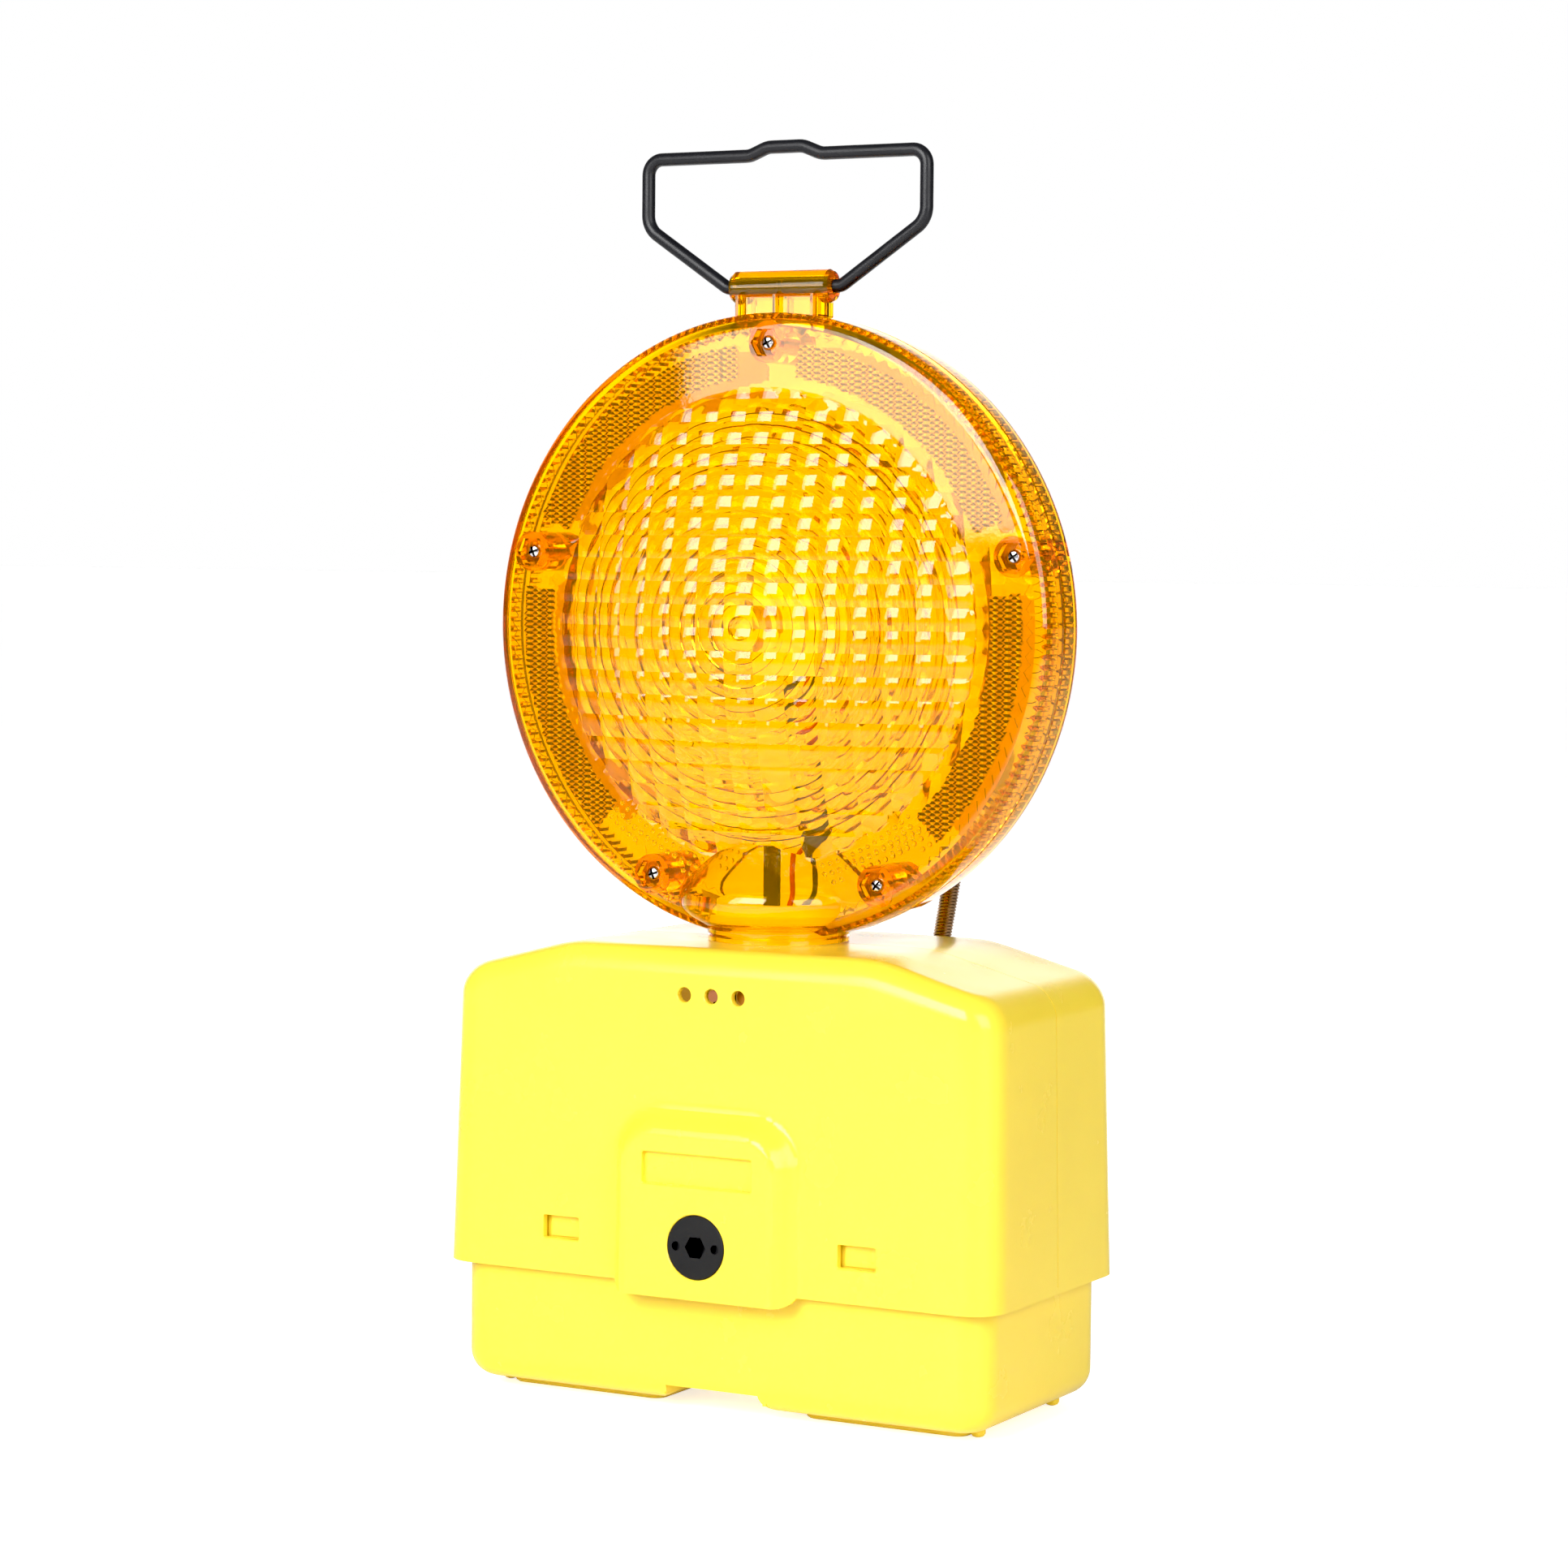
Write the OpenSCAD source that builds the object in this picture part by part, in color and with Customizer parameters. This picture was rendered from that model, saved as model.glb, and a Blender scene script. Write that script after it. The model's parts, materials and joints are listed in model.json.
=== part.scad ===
// Two-sided amber warning lamp on a battery case with a lift-off cover.
// The ground is z = 0 and the case stands centred on the origin. The front is towards -Y.

/* [Case] */
// Width of the cover at its open edge
case_w = 185.2; // [183:0.2:190]
// Depth of the cover at its open edge
case_d = 90.4; // [89:0.2:94]
// Height of the cover's open edge above the ground
edge_z = 38.6; // [36:0.2:40]
// Height of the cover's flat top above the ground
top_z = 137.2; // [136.4:0.2:137.6]
// Width of the flat part of the cover's top
plateau_w = 102; // [90:1:110]
// Drop from the flat top to the case's shoulders
shoulder_drop = 10.4; // [9:0.2:12]
// Amount that each side of the cover leans in from its edge to its shoulder
draft = 1.8; // [1:0.2:2.4]
// Wall thickness of the yellow mouldings
wall = 2.4; // [2:0.1:2.6]
// Height of the pads under the tray
pad_h = 2.6; // [2:0.2:3]
// Width of the channel under the tray
channel_w = 31; // [26:1:34]

/* [Lock] */
// Height of the lock above the ground
lock_z = 51.3; // [50:0.1:52]
// Diameter of the lock's black face
lock_d = 19; // [17:0.5:20]
// How far the lock housing stands out from the case
block_out = 6; // [5:0.5:7]
// Width across the flats of the key socket
key_af = 6; // [5:0.5:7]

/* [Head] */
// Outside diameter of the lens ring
ring_d = 186; // [184:0.5:187]
// Thickness of the ring between its two flat flanges
ring_t = 24.2; // [22:0.2:26]
// Height of the lens centre above the ground
lens_z = 230.9; // [230.5:0.1:232]
// Distance from the case's mid-plane to the head's mid-plane
head_y = -2; // [-3:0.5:0]
// Diameter of each domed optic
dome_d = 141.4; // [138:0.2:144]
// Height of each dome over its flange
dome_h = 15.9; // [14:0.1:17]
// Radius of the circle through the five lens screws
screw_r = 84; // [83:0.5:85]
// Wall thickness of the amber mouldings
lens_wall = 2.2; // [2:0.1:2.6]
// Outside radius of the spigot that carries the head
spigot_r = 18.8; // [18:0.1:19]

/* [Handle] */
// Diameter of the handle wire
wire_d = 4; // [3:0.1:4.4]
// Width of the handle between wire centres
handle_w = 94; // [80:1:100]
// Height of the hinge barrel above the lens centre
barrel_up = 100.9; // [100:0.1:102]
// Length of the hinge barrel
barrel_l = 33.8; // [30:0.2:36]

/* [Fixing bolt] */
// Thread diameter of the swing bolt
bolt_d = 6; // [5:1:6]
// Length of the bolt from its pivot to its tip
bolt_l = 65; // [55:1:66]
// Angle at which the bolt leans back
bolt_lean = 20; // [15:1:25]

/* [Hidden] */
$fn = 64;
eps = 0.01;
far = 400;
run_gap = 0.06;

// Case outline
case_x = case_w / 2;
case_y = case_d / 2;
corner_r = 12;
shoulder_r = 8;
ridge_r = 7;
shoulder_x = case_x - draft;
shoulder_y = case_y - draft - 0.6;
slope = atan(shoulder_drop / (shoulder_x - plateau_w / 2));
lean = atan(draft / (top_z - shoulder_drop - edge_z));
shoulder_cz = top_z - shoulder_drop + shoulder_r * tan(slope) - shoulder_r / cos(slope);

// Tray
tray_x = case_x - 4.2;
tray_y = case_y - 3.8;
tray_top = 60;
tray_r = 11;
tray_foot_r = 8;
floor_z = pad_h + wall;
channel_h = 5;
pad_x = [20, 77];
pad_y = 29;
nub_x = 79.5;
nub_y = 25;
rib_top = 11;
bay_x = 17.1;
ledge_z = 61.6;
ledge_t = 1.6;

// Openings in the front of the cover
window_x = 49.7;
window_z = 51.9;
window_w = 12.4;
window_h = 6.9;
label_w = 36.8;
label_h = 9.4;
label_z = 73.6;
label_deep = 2;
hole_r = 2.25;
hole_pitch = 9;
hole_z = 123.9;

// Lock
block_y = case_y + block_out - 0.2;
block_top = 92.8;
block_base = 35.8;
block_half = 28;
lock_r = lock_d / 2;
lock_t = 2.2;
barrel_r = 6.5;
cam_l = 14;
cam_w = 9;
cam_t = 2;
cam_y = -tray_y + wall + 0.5;
notch_x = 10.6;

// Batteries
cell = 67;
cell_h = 102;
cell_r = 8;
cell_x = tray_x - wall - cell / 2 - 0.5;
cell_top = rib_top + cell_h;
carrier_z = cell_top + 12;
spring_y = 22;

// Circuit board in the cover
board_y = -33;
board_t = 1.6;
board_half = 17;
board_low = 115.5;
board_high = 132.5;
swivel_z = 140.4;
lead_r = 0.8;

// Head
ring_r = ring_d / 2;
ring_half = ring_t / 2;
rim_round = 3.5;
dome_r = dome_d / 2;
dome_ball = (dome_r * dome_r + dome_h * dome_h) / (2 * dome_h);
neck_low = top_z + 0.35;
neck_top = neck_low + 6.2;
bulb_top = neck_low + 29;
spigot_top = 148.6;
flange_r = 20.6;
screw_angles = [15, 90, 165, 243.1, 296.9];
boss_r = 6;
well_deep = 3;
screw_shank_r = 1.2;
screw_head_r = 2.2;
led_board_r = 18;
mast_low = 144;
reflex_in = 73.6;
reflex_out = 84.6;
reflex_arcs = [[22, 61], [97, 61], [172, 55], [313, 55]];
barrel_out_r = 5;
wire_r = wire_d / 2;

// Handle outline from the barrel's end to the crown, in the plane of the handle, one side only
handle_low = 18.6;
handle_high = 39;
hump = 2.4;
bail = [[17.3, 0], [19.2, 0], [handle_w / 2, handle_low], [handle_w / 2, handle_high],
        [12, handle_high], [6, handle_high + hump], [0, handle_high + hump]];
bail_bend = [0, 4, 7, 4.6, 7, 7, 0];
pin_from = 0.7;
pin_to = 17.6;

// Swing bolt
pivot = [20.7, case_y + 7.3, 96];
pin_r = 2.5;
eye_r = 5.5;
eye_w = 9.4;
lug_t = 3;
bolt_r = bolt_d / 2;
washer_at = 14;
nut_at = 16;
nut_h = 8;
thread_from = nut_at + nut_h + 0.5;
core_r = bolt_r - 0.35;

// Rectangle with round corners
module round_rect(hx, hy, r) {
    square([2 * (hx - r), 2 * hy], center = true);
    square([2 * hx, 2 * (hy - r)], center = true);
    for (sx = [-1, 1], sy = [-1, 1]) translate([sx * (hx - r), sy * (hy - r)]) circle(r = r);
}

// Points on an arc about [cx, cy] of radius r, from one angle to another
function arc(cx, cy, r, from, to, n = 4) =
    [for (i = [0:n]) let (a = from + (to - from) * i / n) [cx + r * cos(a), cy + r * sin(a)]];

// A half outline and its mirror image, as one closed outline
function both_sides(half) = concat(half, [for (i = [len(half) - 1:-1:0]) [-half[i][0], half[i][1]]]);

// The closed shape of the cover; a negative g shrinks it
module cover_form(g) {
    foot = edge_z + min(g, 0);
    front = concat([[case_x + g, foot]],
                   arc(shoulder_x - shoulder_r, shoulder_cz, shoulder_r + g, lean, 90 - slope),
                   arc(plateau_w / 2, top_z - ridge_r, ridge_r + g, 90 - slope, 90, 2));
    side = concat([[case_y + g, foot]],
                  arc(shoulder_y - ridge_r, top_z - ridge_r, ridge_r + g, lean, 90));
    intersection() {
        translate([0, 0, foot]) linear_extrude(top_z) round_rect(case_x + g, case_y + g, corner_r + g);
        rotate([90, 0, 0]) linear_extrude(far, center = true) polygon(both_sides(front));
        rotate([90, 0, 90]) linear_extrude(far, center = true) polygon(both_sides(side));
    }
}

// The closed shape of the tray; a negative g shrinks it
module tray_form(g) {
    head = tray_top - min(g, 0);
    low = pad_h + tray_foot_r;
    front = concat(arc(tray_x - tray_foot_r - 0.4, low, tray_foot_r + g, -90, 0), [[tray_x + g, head]]);
    side = concat(arc(tray_y - tray_foot_r - 0.8, low, tray_foot_r + g, -90, 0), [[tray_y + g, head]]);
    intersection() {
        linear_extrude(head) round_rect(tray_x + g, tray_y + g, tray_r + g);
        rotate([90, 0, 0]) linear_extrude(far, center = true) polygon(both_sides(front));
        rotate([90, 0, 90]) linear_extrude(far, center = true) polygon(both_sides(side));
    }
}

// The lock housing on the cover's front; a negative g shrinks it
module block_form(g) {
    half = block_half + g;
    round_r = 14;
    top = block_top - 3 + g;
    outline = concat([[half + 3, block_base - 2]], arc(half - round_r, top - round_r, round_r, 0, 90));
    side = concat([[0, block_base - 2], [block_y + g, block_base - 2]],
                  arc(block_y - 4 + g, top - 4, 4, 0, 90), [[0, top]]);
    intersection() {
        rotate([90, 0, 0]) linear_extrude(far) polygon(both_sides(outline));
        mirror([0, 1, 0]) rotate([90, 0, 90]) linear_extrude(far, center = true) polygon(side);
    }
}

module base_tray() color([1.0, 0.93, 0.22]) {
    difference() {
        union() {
            tray_form(0);
            for (s = [-1, 1]) translate([s * (pad_x[0] + pad_x[1]) / 2, 0, 0])
                linear_extrude(pad_h + 1) round_rect((pad_x[1] - pad_x[0]) / 2, pad_y, 4);
            for (sx = [-1, 1], sy = [-1, 1]) translate([sx * nub_x, sy * nub_y, 0])
                cylinder(r = 2.2, h = pad_h + 1.5);
            // catches seen in the cover's windows
            for (s = [-1, 1]) translate([s * window_x - 5, -tray_y - 0.5, window_z - 3]) cube([10, 1.5, 6]);
        }
        difference() {
            tray_form(-wall);
            translate([-channel_w / 2 - wall, -case_y, 0])
                cube([channel_w + 2 * wall, case_d, floor_z + channel_h]);
        }
        translate([-channel_w / 2, -case_y, -eps]) cube([channel_w, case_d, pad_h + channel_h + eps]);
        translate([-notch_x, -tray_y - 1, 41]) cube([2 * notch_x, wall + 2, 30]);
    }
    for (s = [-1, 1]) {
        translate([s * bay_x - wall / 4, -tray_y + wall - 0.5, floor_z])
            cube([wall / 2, 2 * (tray_y - wall) + 1, 45]);
        for (x = [32, 52, 72]) translate([s * x - 1, -30, floor_z - 0.5])
            cube([2, 60, rib_top - floor_z + 0.5]);
    }
    // keeper that the lock's cam turns under
    translate([-bay_x, -tray_y + wall - 0.5, lock_z + cam_w / 2 + 1]) cube([5.6, 4.5, 2]);
}

module case_gasket() color([0.12, 0.12, 0.12])
    translate([0, 0, tray_top]) linear_extrude(ledge_z - tray_top - 0.1) difference() {
        round_rect(tray_x - 0.2, tray_y - 0.2, tray_r);
        round_rect(tray_x - wall + 0.2, tray_y - wall + 0.2, tray_r - wall);
    }

module battery() {
    translate([0, 0, rib_top]) linear_extrude(cell_h - 4) round_rect(cell / 2, cell / 2, cell_r);
    translate([0, 0, cell_top - 4]) linear_extrude(4) round_rect(cell / 2 - 1.2, cell / 2 - 1.2, cell_r - 1);
}

module battery_left() color([0.2, 0.25, 0.55]) translate([-cell_x, 0, 0]) battery();

module battery_right() color([0.2, 0.25, 0.55]) translate([cell_x, 0, 0]) battery();

// Conical terminal spring: its turns as rings on a thin core
module terminal_spring() {
    cylinder(r1 = 6, r2 = 2.2, h = 11.4);
    for (i = [0:3]) translate([0, 0, 0.6 + i * 2.8]) cylinder(r = 6.6 - i, h = 1.2);
}

module battery_springs() color([0.8, 0.7, 0.4]) for (s = [-1, 1]) {
    translate([s * cell_x, 0, cell_top + 0.3]) terminal_spring();
    translate([s * cell_x, spring_y, cell_top + 0.3]) terminal_spring();
}

// Things placed at the two board screws, pointing to the front
module at_board_screws() for (s = [-1, 1])
    translate([s * 13, board_y, board_low + 3.5]) rotate([90, 0, 0]) children();

module spigot() {
    translate([0, head_y, top_z - wall]) cylinder(r = spigot_r, h = spigot_top - top_z + wall);
    translate([0, head_y, neck_top + 0.4]) cylinder(r = flange_r, h = 2.4);
}

module top_cover() color([1.0, 0.93, 0.22]) {
    difference() {
        union() {
            cover_form(0);
            intersection() {
                block_form(0);
                translate([-40, -block_y - 1, block_base]) cube([80, block_y + 1 - case_y + wall, 90]);
            }
            spigot();
            for (s = [-1, 1]) translate([pivot[0] + s * (eye_w / 2 + 0.3 + lug_t / 2) - lug_t / 2, 0, 0]) {
                translate([0, pivot[1], pivot[2]]) rotate([0, 90, 0]) cylinder(r = eye_r, h = lug_t);
                translate([0, case_y - 6, pivot[2] - eye_r]) cube([lug_t, 13.3, 2 * eye_r]);
            }
        }
        difference() {
            union() {
                cover_form(-wall);
                block_form(-wall);
            }
            // lock boss
            translate([0, -block_y + 7, lock_z]) rotate([90, 0, 0]) cylinder(r = 12, h = 8);
            // circuit board bosses
            at_board_screws() cylinder(r = 3, h = 12);
            // back of the label recess
            translate([-label_w / 2 - 1.5, -block_y, label_z - label_h / 2 - 1.5])
                cube([label_w + 3, label_deep + 1.6, label_h + 3]);
        }
        translate([-label_w / 2, -block_y - 1, label_z - label_h / 2])
            cube([label_w, label_deep + 1, label_h]);
        for (s = [-1, 1]) translate([s * window_x - window_w / 2, -case_y - 1, window_z - window_h / 2])
            cube([window_w, 4.4, window_h]);
        for (i = [-1:1]) translate([i * hole_pitch, -case_y + 6, hole_z]) rotate([90, 0, 0])
            cylinder(r = hole_r, h = 8);
        translate([0, -block_y + lock_t + 0.2, lock_z]) rotate([90, 0, 0])
            cylinder(r = lock_r + run_gap, h = 8);
        translate([0, -block_y + 9, lock_z]) rotate([90, 0, 0]) cylinder(r = barrel_r + run_gap, h = 12);
        translate([0, head_y, top_z - 8]) cylinder(r = spigot_r - 3.3, h = 40);
        translate([0, head_y, 0]) rotate_extrude() translate([spigot_r - 1.8, neck_low + 2]) square([5, 1.8]);
        translate([pivot[0] - 20, pivot[1], pivot[2]]) rotate([0, 90, 0]) cylinder(r = pin_r + 0.02, h = 40);
        at_board_screws() cylinder(r = 1.25, h = 6);
    }
    // ledge that rests on the gasket
    translate([0, 0, ledge_z]) linear_extrude(ledge_t) difference() {
        round_rect(case_x - 2, case_y - 2, tray_r);
        round_rect(tray_x - wall, tray_y - wall, tray_r - wall);
    }
    // ribs inside the lock housing that end just below its edge
    for (x = [-13, -4.4, 4.4, 13]) translate([x - 0.7, -block_y + wall - 0.5, block_base - 1])
        cube([1.4, 3, 3.5]);
    // posts for the contact carrier
    for (s = [-1, 1]) translate([s * 36, 14, carrier_z + 2]) cylinder(r = 3, h = top_z - carrier_z - 3);
}

module neck_seal() color([0.1, 0.1, 0.1]) translate([0, head_y, neck_low + 2.9])
    rotate_extrude() translate([spigot_r - 0.92, 0]) circle(r = 0.85);

module contact_carrier() color([0.15, 0.15, 0.15]) translate([0, 0, carrier_z])
    linear_extrude(2) difference() {
        round_rect(70, 27, 4);
        for (s = [-1, 1]) translate([s * 58, -16]) circle(r = 6);
    }

module contact_strips() color([0.85, 0.72, 0.4]) translate([0, 0, carrier_z - 0.3]) {
    translate([-cell_x - 5, -5, 0]) cube([14, 10, 0.3]);
    translate([-cell_x - 5, 17, 0]) cube([2 * cell_x - 8, 9, 0.3]);
    translate([cell_x - 16, -5, 0]) cube([22, 10, 0.3]);
    translate([cell_x - 7, 17, 0]) cube([13, 9, 0.3]);
}

module control_board() color([0.1, 0.4, 0.2]) difference() {
    translate([-board_half, board_y, board_low]) cube([2 * board_half, board_t, board_high - board_low]);
    at_board_screws() translate([0, 0, -3]) cylinder(r = 1.25, h = 6);
}

module board_parts() color([0.1, 0.1, 0.12]) {
    translate([-9, board_y + board_t, 119]) cube([9, 2, 7]);
    translate([8, board_y + board_t, 121]) rotate([-90, 0, 0]) cylinder(r = 3.2, h = 9);
    translate([4, board_y + board_t, 128.5]) rotate([-90, 0, 0]) cylinder(r = 2.6, h = 4);
    // body of the push button, in front of the board
    difference() {
        translate([-3, board_y - 3, hole_z - 3]) cube([6, 3, 6]);
        translate([0, board_y + 1, hole_z]) rotate([90, 0, 0]) cylinder(r = 1.7 + run_gap, h = 6);
    }
}

module photocell() color([0.25, 0.18, 0.1])
    translate([hole_pitch, board_y, hole_z]) rotate([90, 0, 0]) cylinder(r = 2.6, h = 5.5);

module board_screws() color([0.75, 0.75, 0.78]) at_board_screws() {
    translate([0, 0, -0.5]) cylinder(r = 1.2, h = 5);
    translate([0, 0, -board_t - 1.5]) cylinder(r = 2.2, h = 1.5);
    translate([0, 0, -board_t - 0.5]) cylinder(r = 1.2, h = 2);
}

module mode_button() color([0.35, 0.2, 0.1])
    translate([0, board_y - 1.2, hole_z]) rotate([90, 0, 0]) cylinder(r = 1.7, h = 7.2);

function unit(v) = v / norm(v);

// One ring of a tube about the path's point i; ref is any direction that the path never follows
function ring_at(path, i, r, n, ref) = let (
        last = len(path) - 1,
        before = unit(path[max(i, 1)] - path[max(i, 1) - 1]),
        after = unit(path[min(i, last - 1) + 1] - path[min(i, last - 1)]),
        along = unit(before + after),
        side = unit(cross(along, ref)),
        up = cross(side, along))
    [for (k = [0:n - 1]) path[i] + r * (cos(360 * k / n) * side + sin(360 * k / n) * up)];

// Tube along a path, with n sides
module tube(path, r, n, ref) {
    last = len(path) - 1;
    points = [for (i = [0:last]) each ring_at(path, i, r, n, ref)];
    sides = [for (i = [0:last - 1], k = [0:n - 1])
        [i * n + k, i * n + (k + 1) % n, (i + 1) * n + (k + 1) % n, (i + 1) * n + k]];
    polyhedron(points, concat(sides, [[for (k = [n - 1:-1:0]) k], [for (k = [0:n - 1]) last * n + k]]));
}

// Insulated lead through a list of points
module lead(points) tube(points, lead_r, 8, [1, 0, 0]);

module red_lead() color([0.8, 0.1, 0.1])
    lead([[10, board_y + 2, 129], [5, -20, 131], [1.5, head_y - 3, 134], [1, head_y, swivel_z - 1]]);

module black_lead() color([0.05, 0.05, 0.05])
    lead([[-10, board_y + 2, 129], [-5, -20, 131], [-1.5, head_y - 3, 134], [-1, head_y, swivel_z - 1]]);

module pivot_pin() color([0.7, 0.7, 0.72])
    translate([pivot[0] - eye_w / 2 - 5, pivot[1], pivot[2]]) rotate([0, 90, 0]) {
    cylinder(r = pin_r, h = eye_w + 10);
    translate([0, 0, -1]) cylinder(r = pin_r + 1.2, h = 1.2);
}

// Things placed on the lock's axis at a distance y, pointing into the case
module at_lock(y) translate([0, y, lock_z]) rotate([-90, 0, 0]) children();

module lock_screw() color([0.08, 0.08, 0.09]) at_lock(-block_y + 0.1) difference() {
    union() {
        cylinder(r = lock_r, h = lock_t);
        cylinder(r = barrel_r, h = block_y + cam_y - 0.1);
        cylinder(r = 3.5, h = block_y + cam_y + cam_t + 1.6);
    }
    translate([0, 0, -eps]) cylinder(r = key_af / 2 / cos(30), h = 6, $fn = 6);
    for (s = [-1, 1]) translate([s * 6.5, 0, -eps]) cylinder(r = 1.35, h = 1.9);
}

module lock_cam() color([0.7, 0.7, 0.72]) at_lock(cam_y) difference() {
    union() {
        cylinder(r = barrel_r, h = cam_t);
        translate([-cam_w / 2, 0, 0]) cube([cam_w, cam_l, cam_t]);
    }
    translate([0, 0, -1]) cylinder(r = 3.52, h = cam_t + 2);
}

module lock_clip() color([0.5, 0.5, 0.52]) at_lock(cam_y + cam_t + 0.1) difference() {
    cylinder(r = 5.4, h = 0.8);
    translate([0, 0, -1]) cylinder(r = 3.52, h = 3);
    translate([-2, -8, -1]) cube([4, 8, 3]);
}

// Things placed about the lens centre, with the lens axis along Y
module at_lens() translate([0, head_y, lens_z]) children();

module ring_solid() rotate([90, 0, 0]) rotate_extrude($fn = 128)
    polygon(concat([[0, -ring_half]], arc(ring_r - rim_round, -ring_half + rim_round, rim_round, -90, 0),
                   arc(ring_r - rim_round, ring_half - rim_round, rim_round, 0, 90), [[0, ring_half]]));

// Spherical cap on the front flange, with its skin taken in by g
module dome(g) intersection() {
    translate([0, dome_ball - ring_half - dome_h, 0]) sphere(r = dome_ball - g, $fn = 160);
    rotate([90, 0, 0]) cylinder(r = dome_r - g, h = ring_half + dome_h + 1, $fn = 128);
}

// Outline of the neck and bulb, as radius and height above the neck's foot
bulb_line = [[21.2, 1.2], [20.7, 1.6], [21.3, 2.1], [21.4, 3.3], [20.9, 3.7], [21.8, 4.2], [24, 5.4],
             [27.2, 7.4], [29.4, 9.8], [30, 12.4], [29.3, 14.8], [27, 18.2], [23.4, 22], [19, 26], [15, 29]];

// The neck and bulb above the height from, where the radius is foot; inset takes in the rest
module bulb(inset, from, foot) rotate_extrude($fn = 96) translate([0, neck_low]) polygon(concat(
    [[0, from], [foot, from]], [for (p = bulb_line) if (p[1] > from) [p[0] - inset, p[1]]],
    [[0, bulb_top - neck_low]]));

// Solid of the whole head before it is hollowed, about the lens axis
module head_solid() {
    ring_solid();
    for (m = [0, 1]) mirror([0, m, 0]) dome(0);
    translate([0, 0, -lens_z]) bulb(0, 0, bulb_line[0][0]);
    translate([-barrel_l / 2, 0, barrel_up]) rotate([0, 90, 0]) cylinder(r = barrel_out_r, h = barrel_l);
    translate([-13.5, -4, ring_r - 3]) cube([27, 8, barrel_up - ring_r + 3]);
    for (x = [-12.6, 0, 12.6]) translate([x - 0.6, -6.5, ring_r - 2]) cube([1.2, 13, barrel_up - ring_r]);
}

module head_cavity() {
    difference() {
        rotate([90, 0, 0])
            cylinder(r = ring_r - lens_wall - 0.4, h = ring_t - 2 * lens_wall, center = true, $fn = 128);
        translate([0, 0, -lens_z + neck_low - 1]) cylinder(r = 23, h = neck_top - neck_low + 1);
    }
    for (m = [0, 1]) mirror([0, m, 0]) dome(lens_wall);
    translate([0, 0, -lens_z]) bulb(lens_wall - 0.2, neck_top - neck_low, flange_r + 1.6);
    translate([0, 0, -lens_z + neck_low - 1]) cylinder(r = spigot_r + run_gap, h = neck_top - neck_low + 2);
    translate([-barrel_l, 0, barrel_up]) rotate([0, 90, 0]) cylinder(r = wire_r + run_gap, h = 2 * barrel_l);
}

// One half of the head: side -1 is the front, with the screw wells; side 1 is the rear
module lens_half(side) at_lens() {
    difference() {
        intersection() {
            head_solid();
            translate([-far / 2, side < 0 ? -far : 0, -far / 2]) cube(far);
        }
        difference() {
            head_cavity();
            for (a = screw_angles) rotate([0, -a, 0]) translate([screw_r, 0, 0]) rotate([side * -90, 0, 0])
                cylinder(r = boss_r, h = ring_half);
            for (s = [-1, 1]) translate([s * 13, 0, 6]) rotate([side * -90, 0, 0])
                translate([0, 0, board_t / 2 + 0.05]) cylinder(r = 2, h = 30);
        }
        for (a = screw_angles) rotate([0, -a, 0]) translate([screw_r, 0, 0]) rotate([90, 0, 0]) {
            cylinder(r = screw_shank_r + 0.05, h = ring_t - 3, center = true);
            if (side < 0) translate([0, 0, ring_half - well_deep]) cylinder(r = 4.6, h = 5, $fn = 6);
        }
    }
}

module lens_front() color([1.0, 0.55, 0.05, 0.8]) lens_half(-1);

module lens_back() color([1.0, 0.5, 0.05, 0.8]) lens_half(1);

module reflex_band() for (arc = reflex_arcs) rotate([0, -arc[0], 0]) rotate([90, 0, 0])
    translate([0, 0, ring_half - lens_wall - 1.5]) rotate_extrude(angle = arc[1], $fn = 128)
        translate([reflex_in, 0]) square([reflex_out - reflex_in, 1.4]);

module reflex_front() color([0.75, 0.4, 0.05]) at_lens() reflex_band();

module reflex_back() color([0.75, 0.4, 0.05]) at_lens() mirror([0, 1, 0]) reflex_band();

module lens_screws() color([0.85, 0.85, 0.87]) at_lens() for (a = screw_angles) rotate([0, -a, 0])
    translate([screw_r, -ring_half + well_deep, 0]) rotate([90, 0, 0]) difference() {
        union() {
            translate([0, 0, -13]) cylinder(r = screw_shank_r, h = 13);
            cylinder(r = screw_head_r, h = 1.5);
        }
        for (t = [0, 90]) rotate([0, 0, t]) translate([-1.4, -0.3, 0.7]) cube([2.8, 0.6, 1]);
    }

module led_board() color([0.9, 0.9, 0.85]) at_lens()
    rotate([90, 0, 0]) cylinder(r = led_board_r, h = board_t, center = true);

module led_mast() color([0.1, 0.08, 0.06]) at_lens() translate([-5, -board_t / 2, mast_low - lens_z])
    cube([5, board_t, lens_z - mast_low - led_board_r - 0.05]);

module leds() color([1.0, 0.95, 0.7]) at_lens()
    for (s = [-90, 90]) rotate([s, 0, 0]) translate([0, 0, board_t / 2]) {
        cylinder(r = 5, h = 1.6);
        translate([0, 0, 1.5]) intersection() {
            sphere(r = 3.4);
            cylinder(r = 4, h = 4);
        }
    }

module red_wire() color([0.8, 0.1, 0.1])
    lead([[5, head_y, lens_z - 18.5], [4.6, head_y, 170], [4.4, head_y, 158], [4.4, head_y, 149],
          [1.2, head_y, 144], [1, head_y, swivel_z + 1]]);

module black_wire() color([0.05, 0.05, 0.05])
    lead([[9, head_y, lens_z - 16.5], [11.6, head_y, 180], [12, head_y, 160], [11, head_y + 1, 150],
          [3, head_y + 3, 144.5], [-1, head_y + 2.4, 142.8], [-1, head_y, swivel_z + 1]]);

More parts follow.
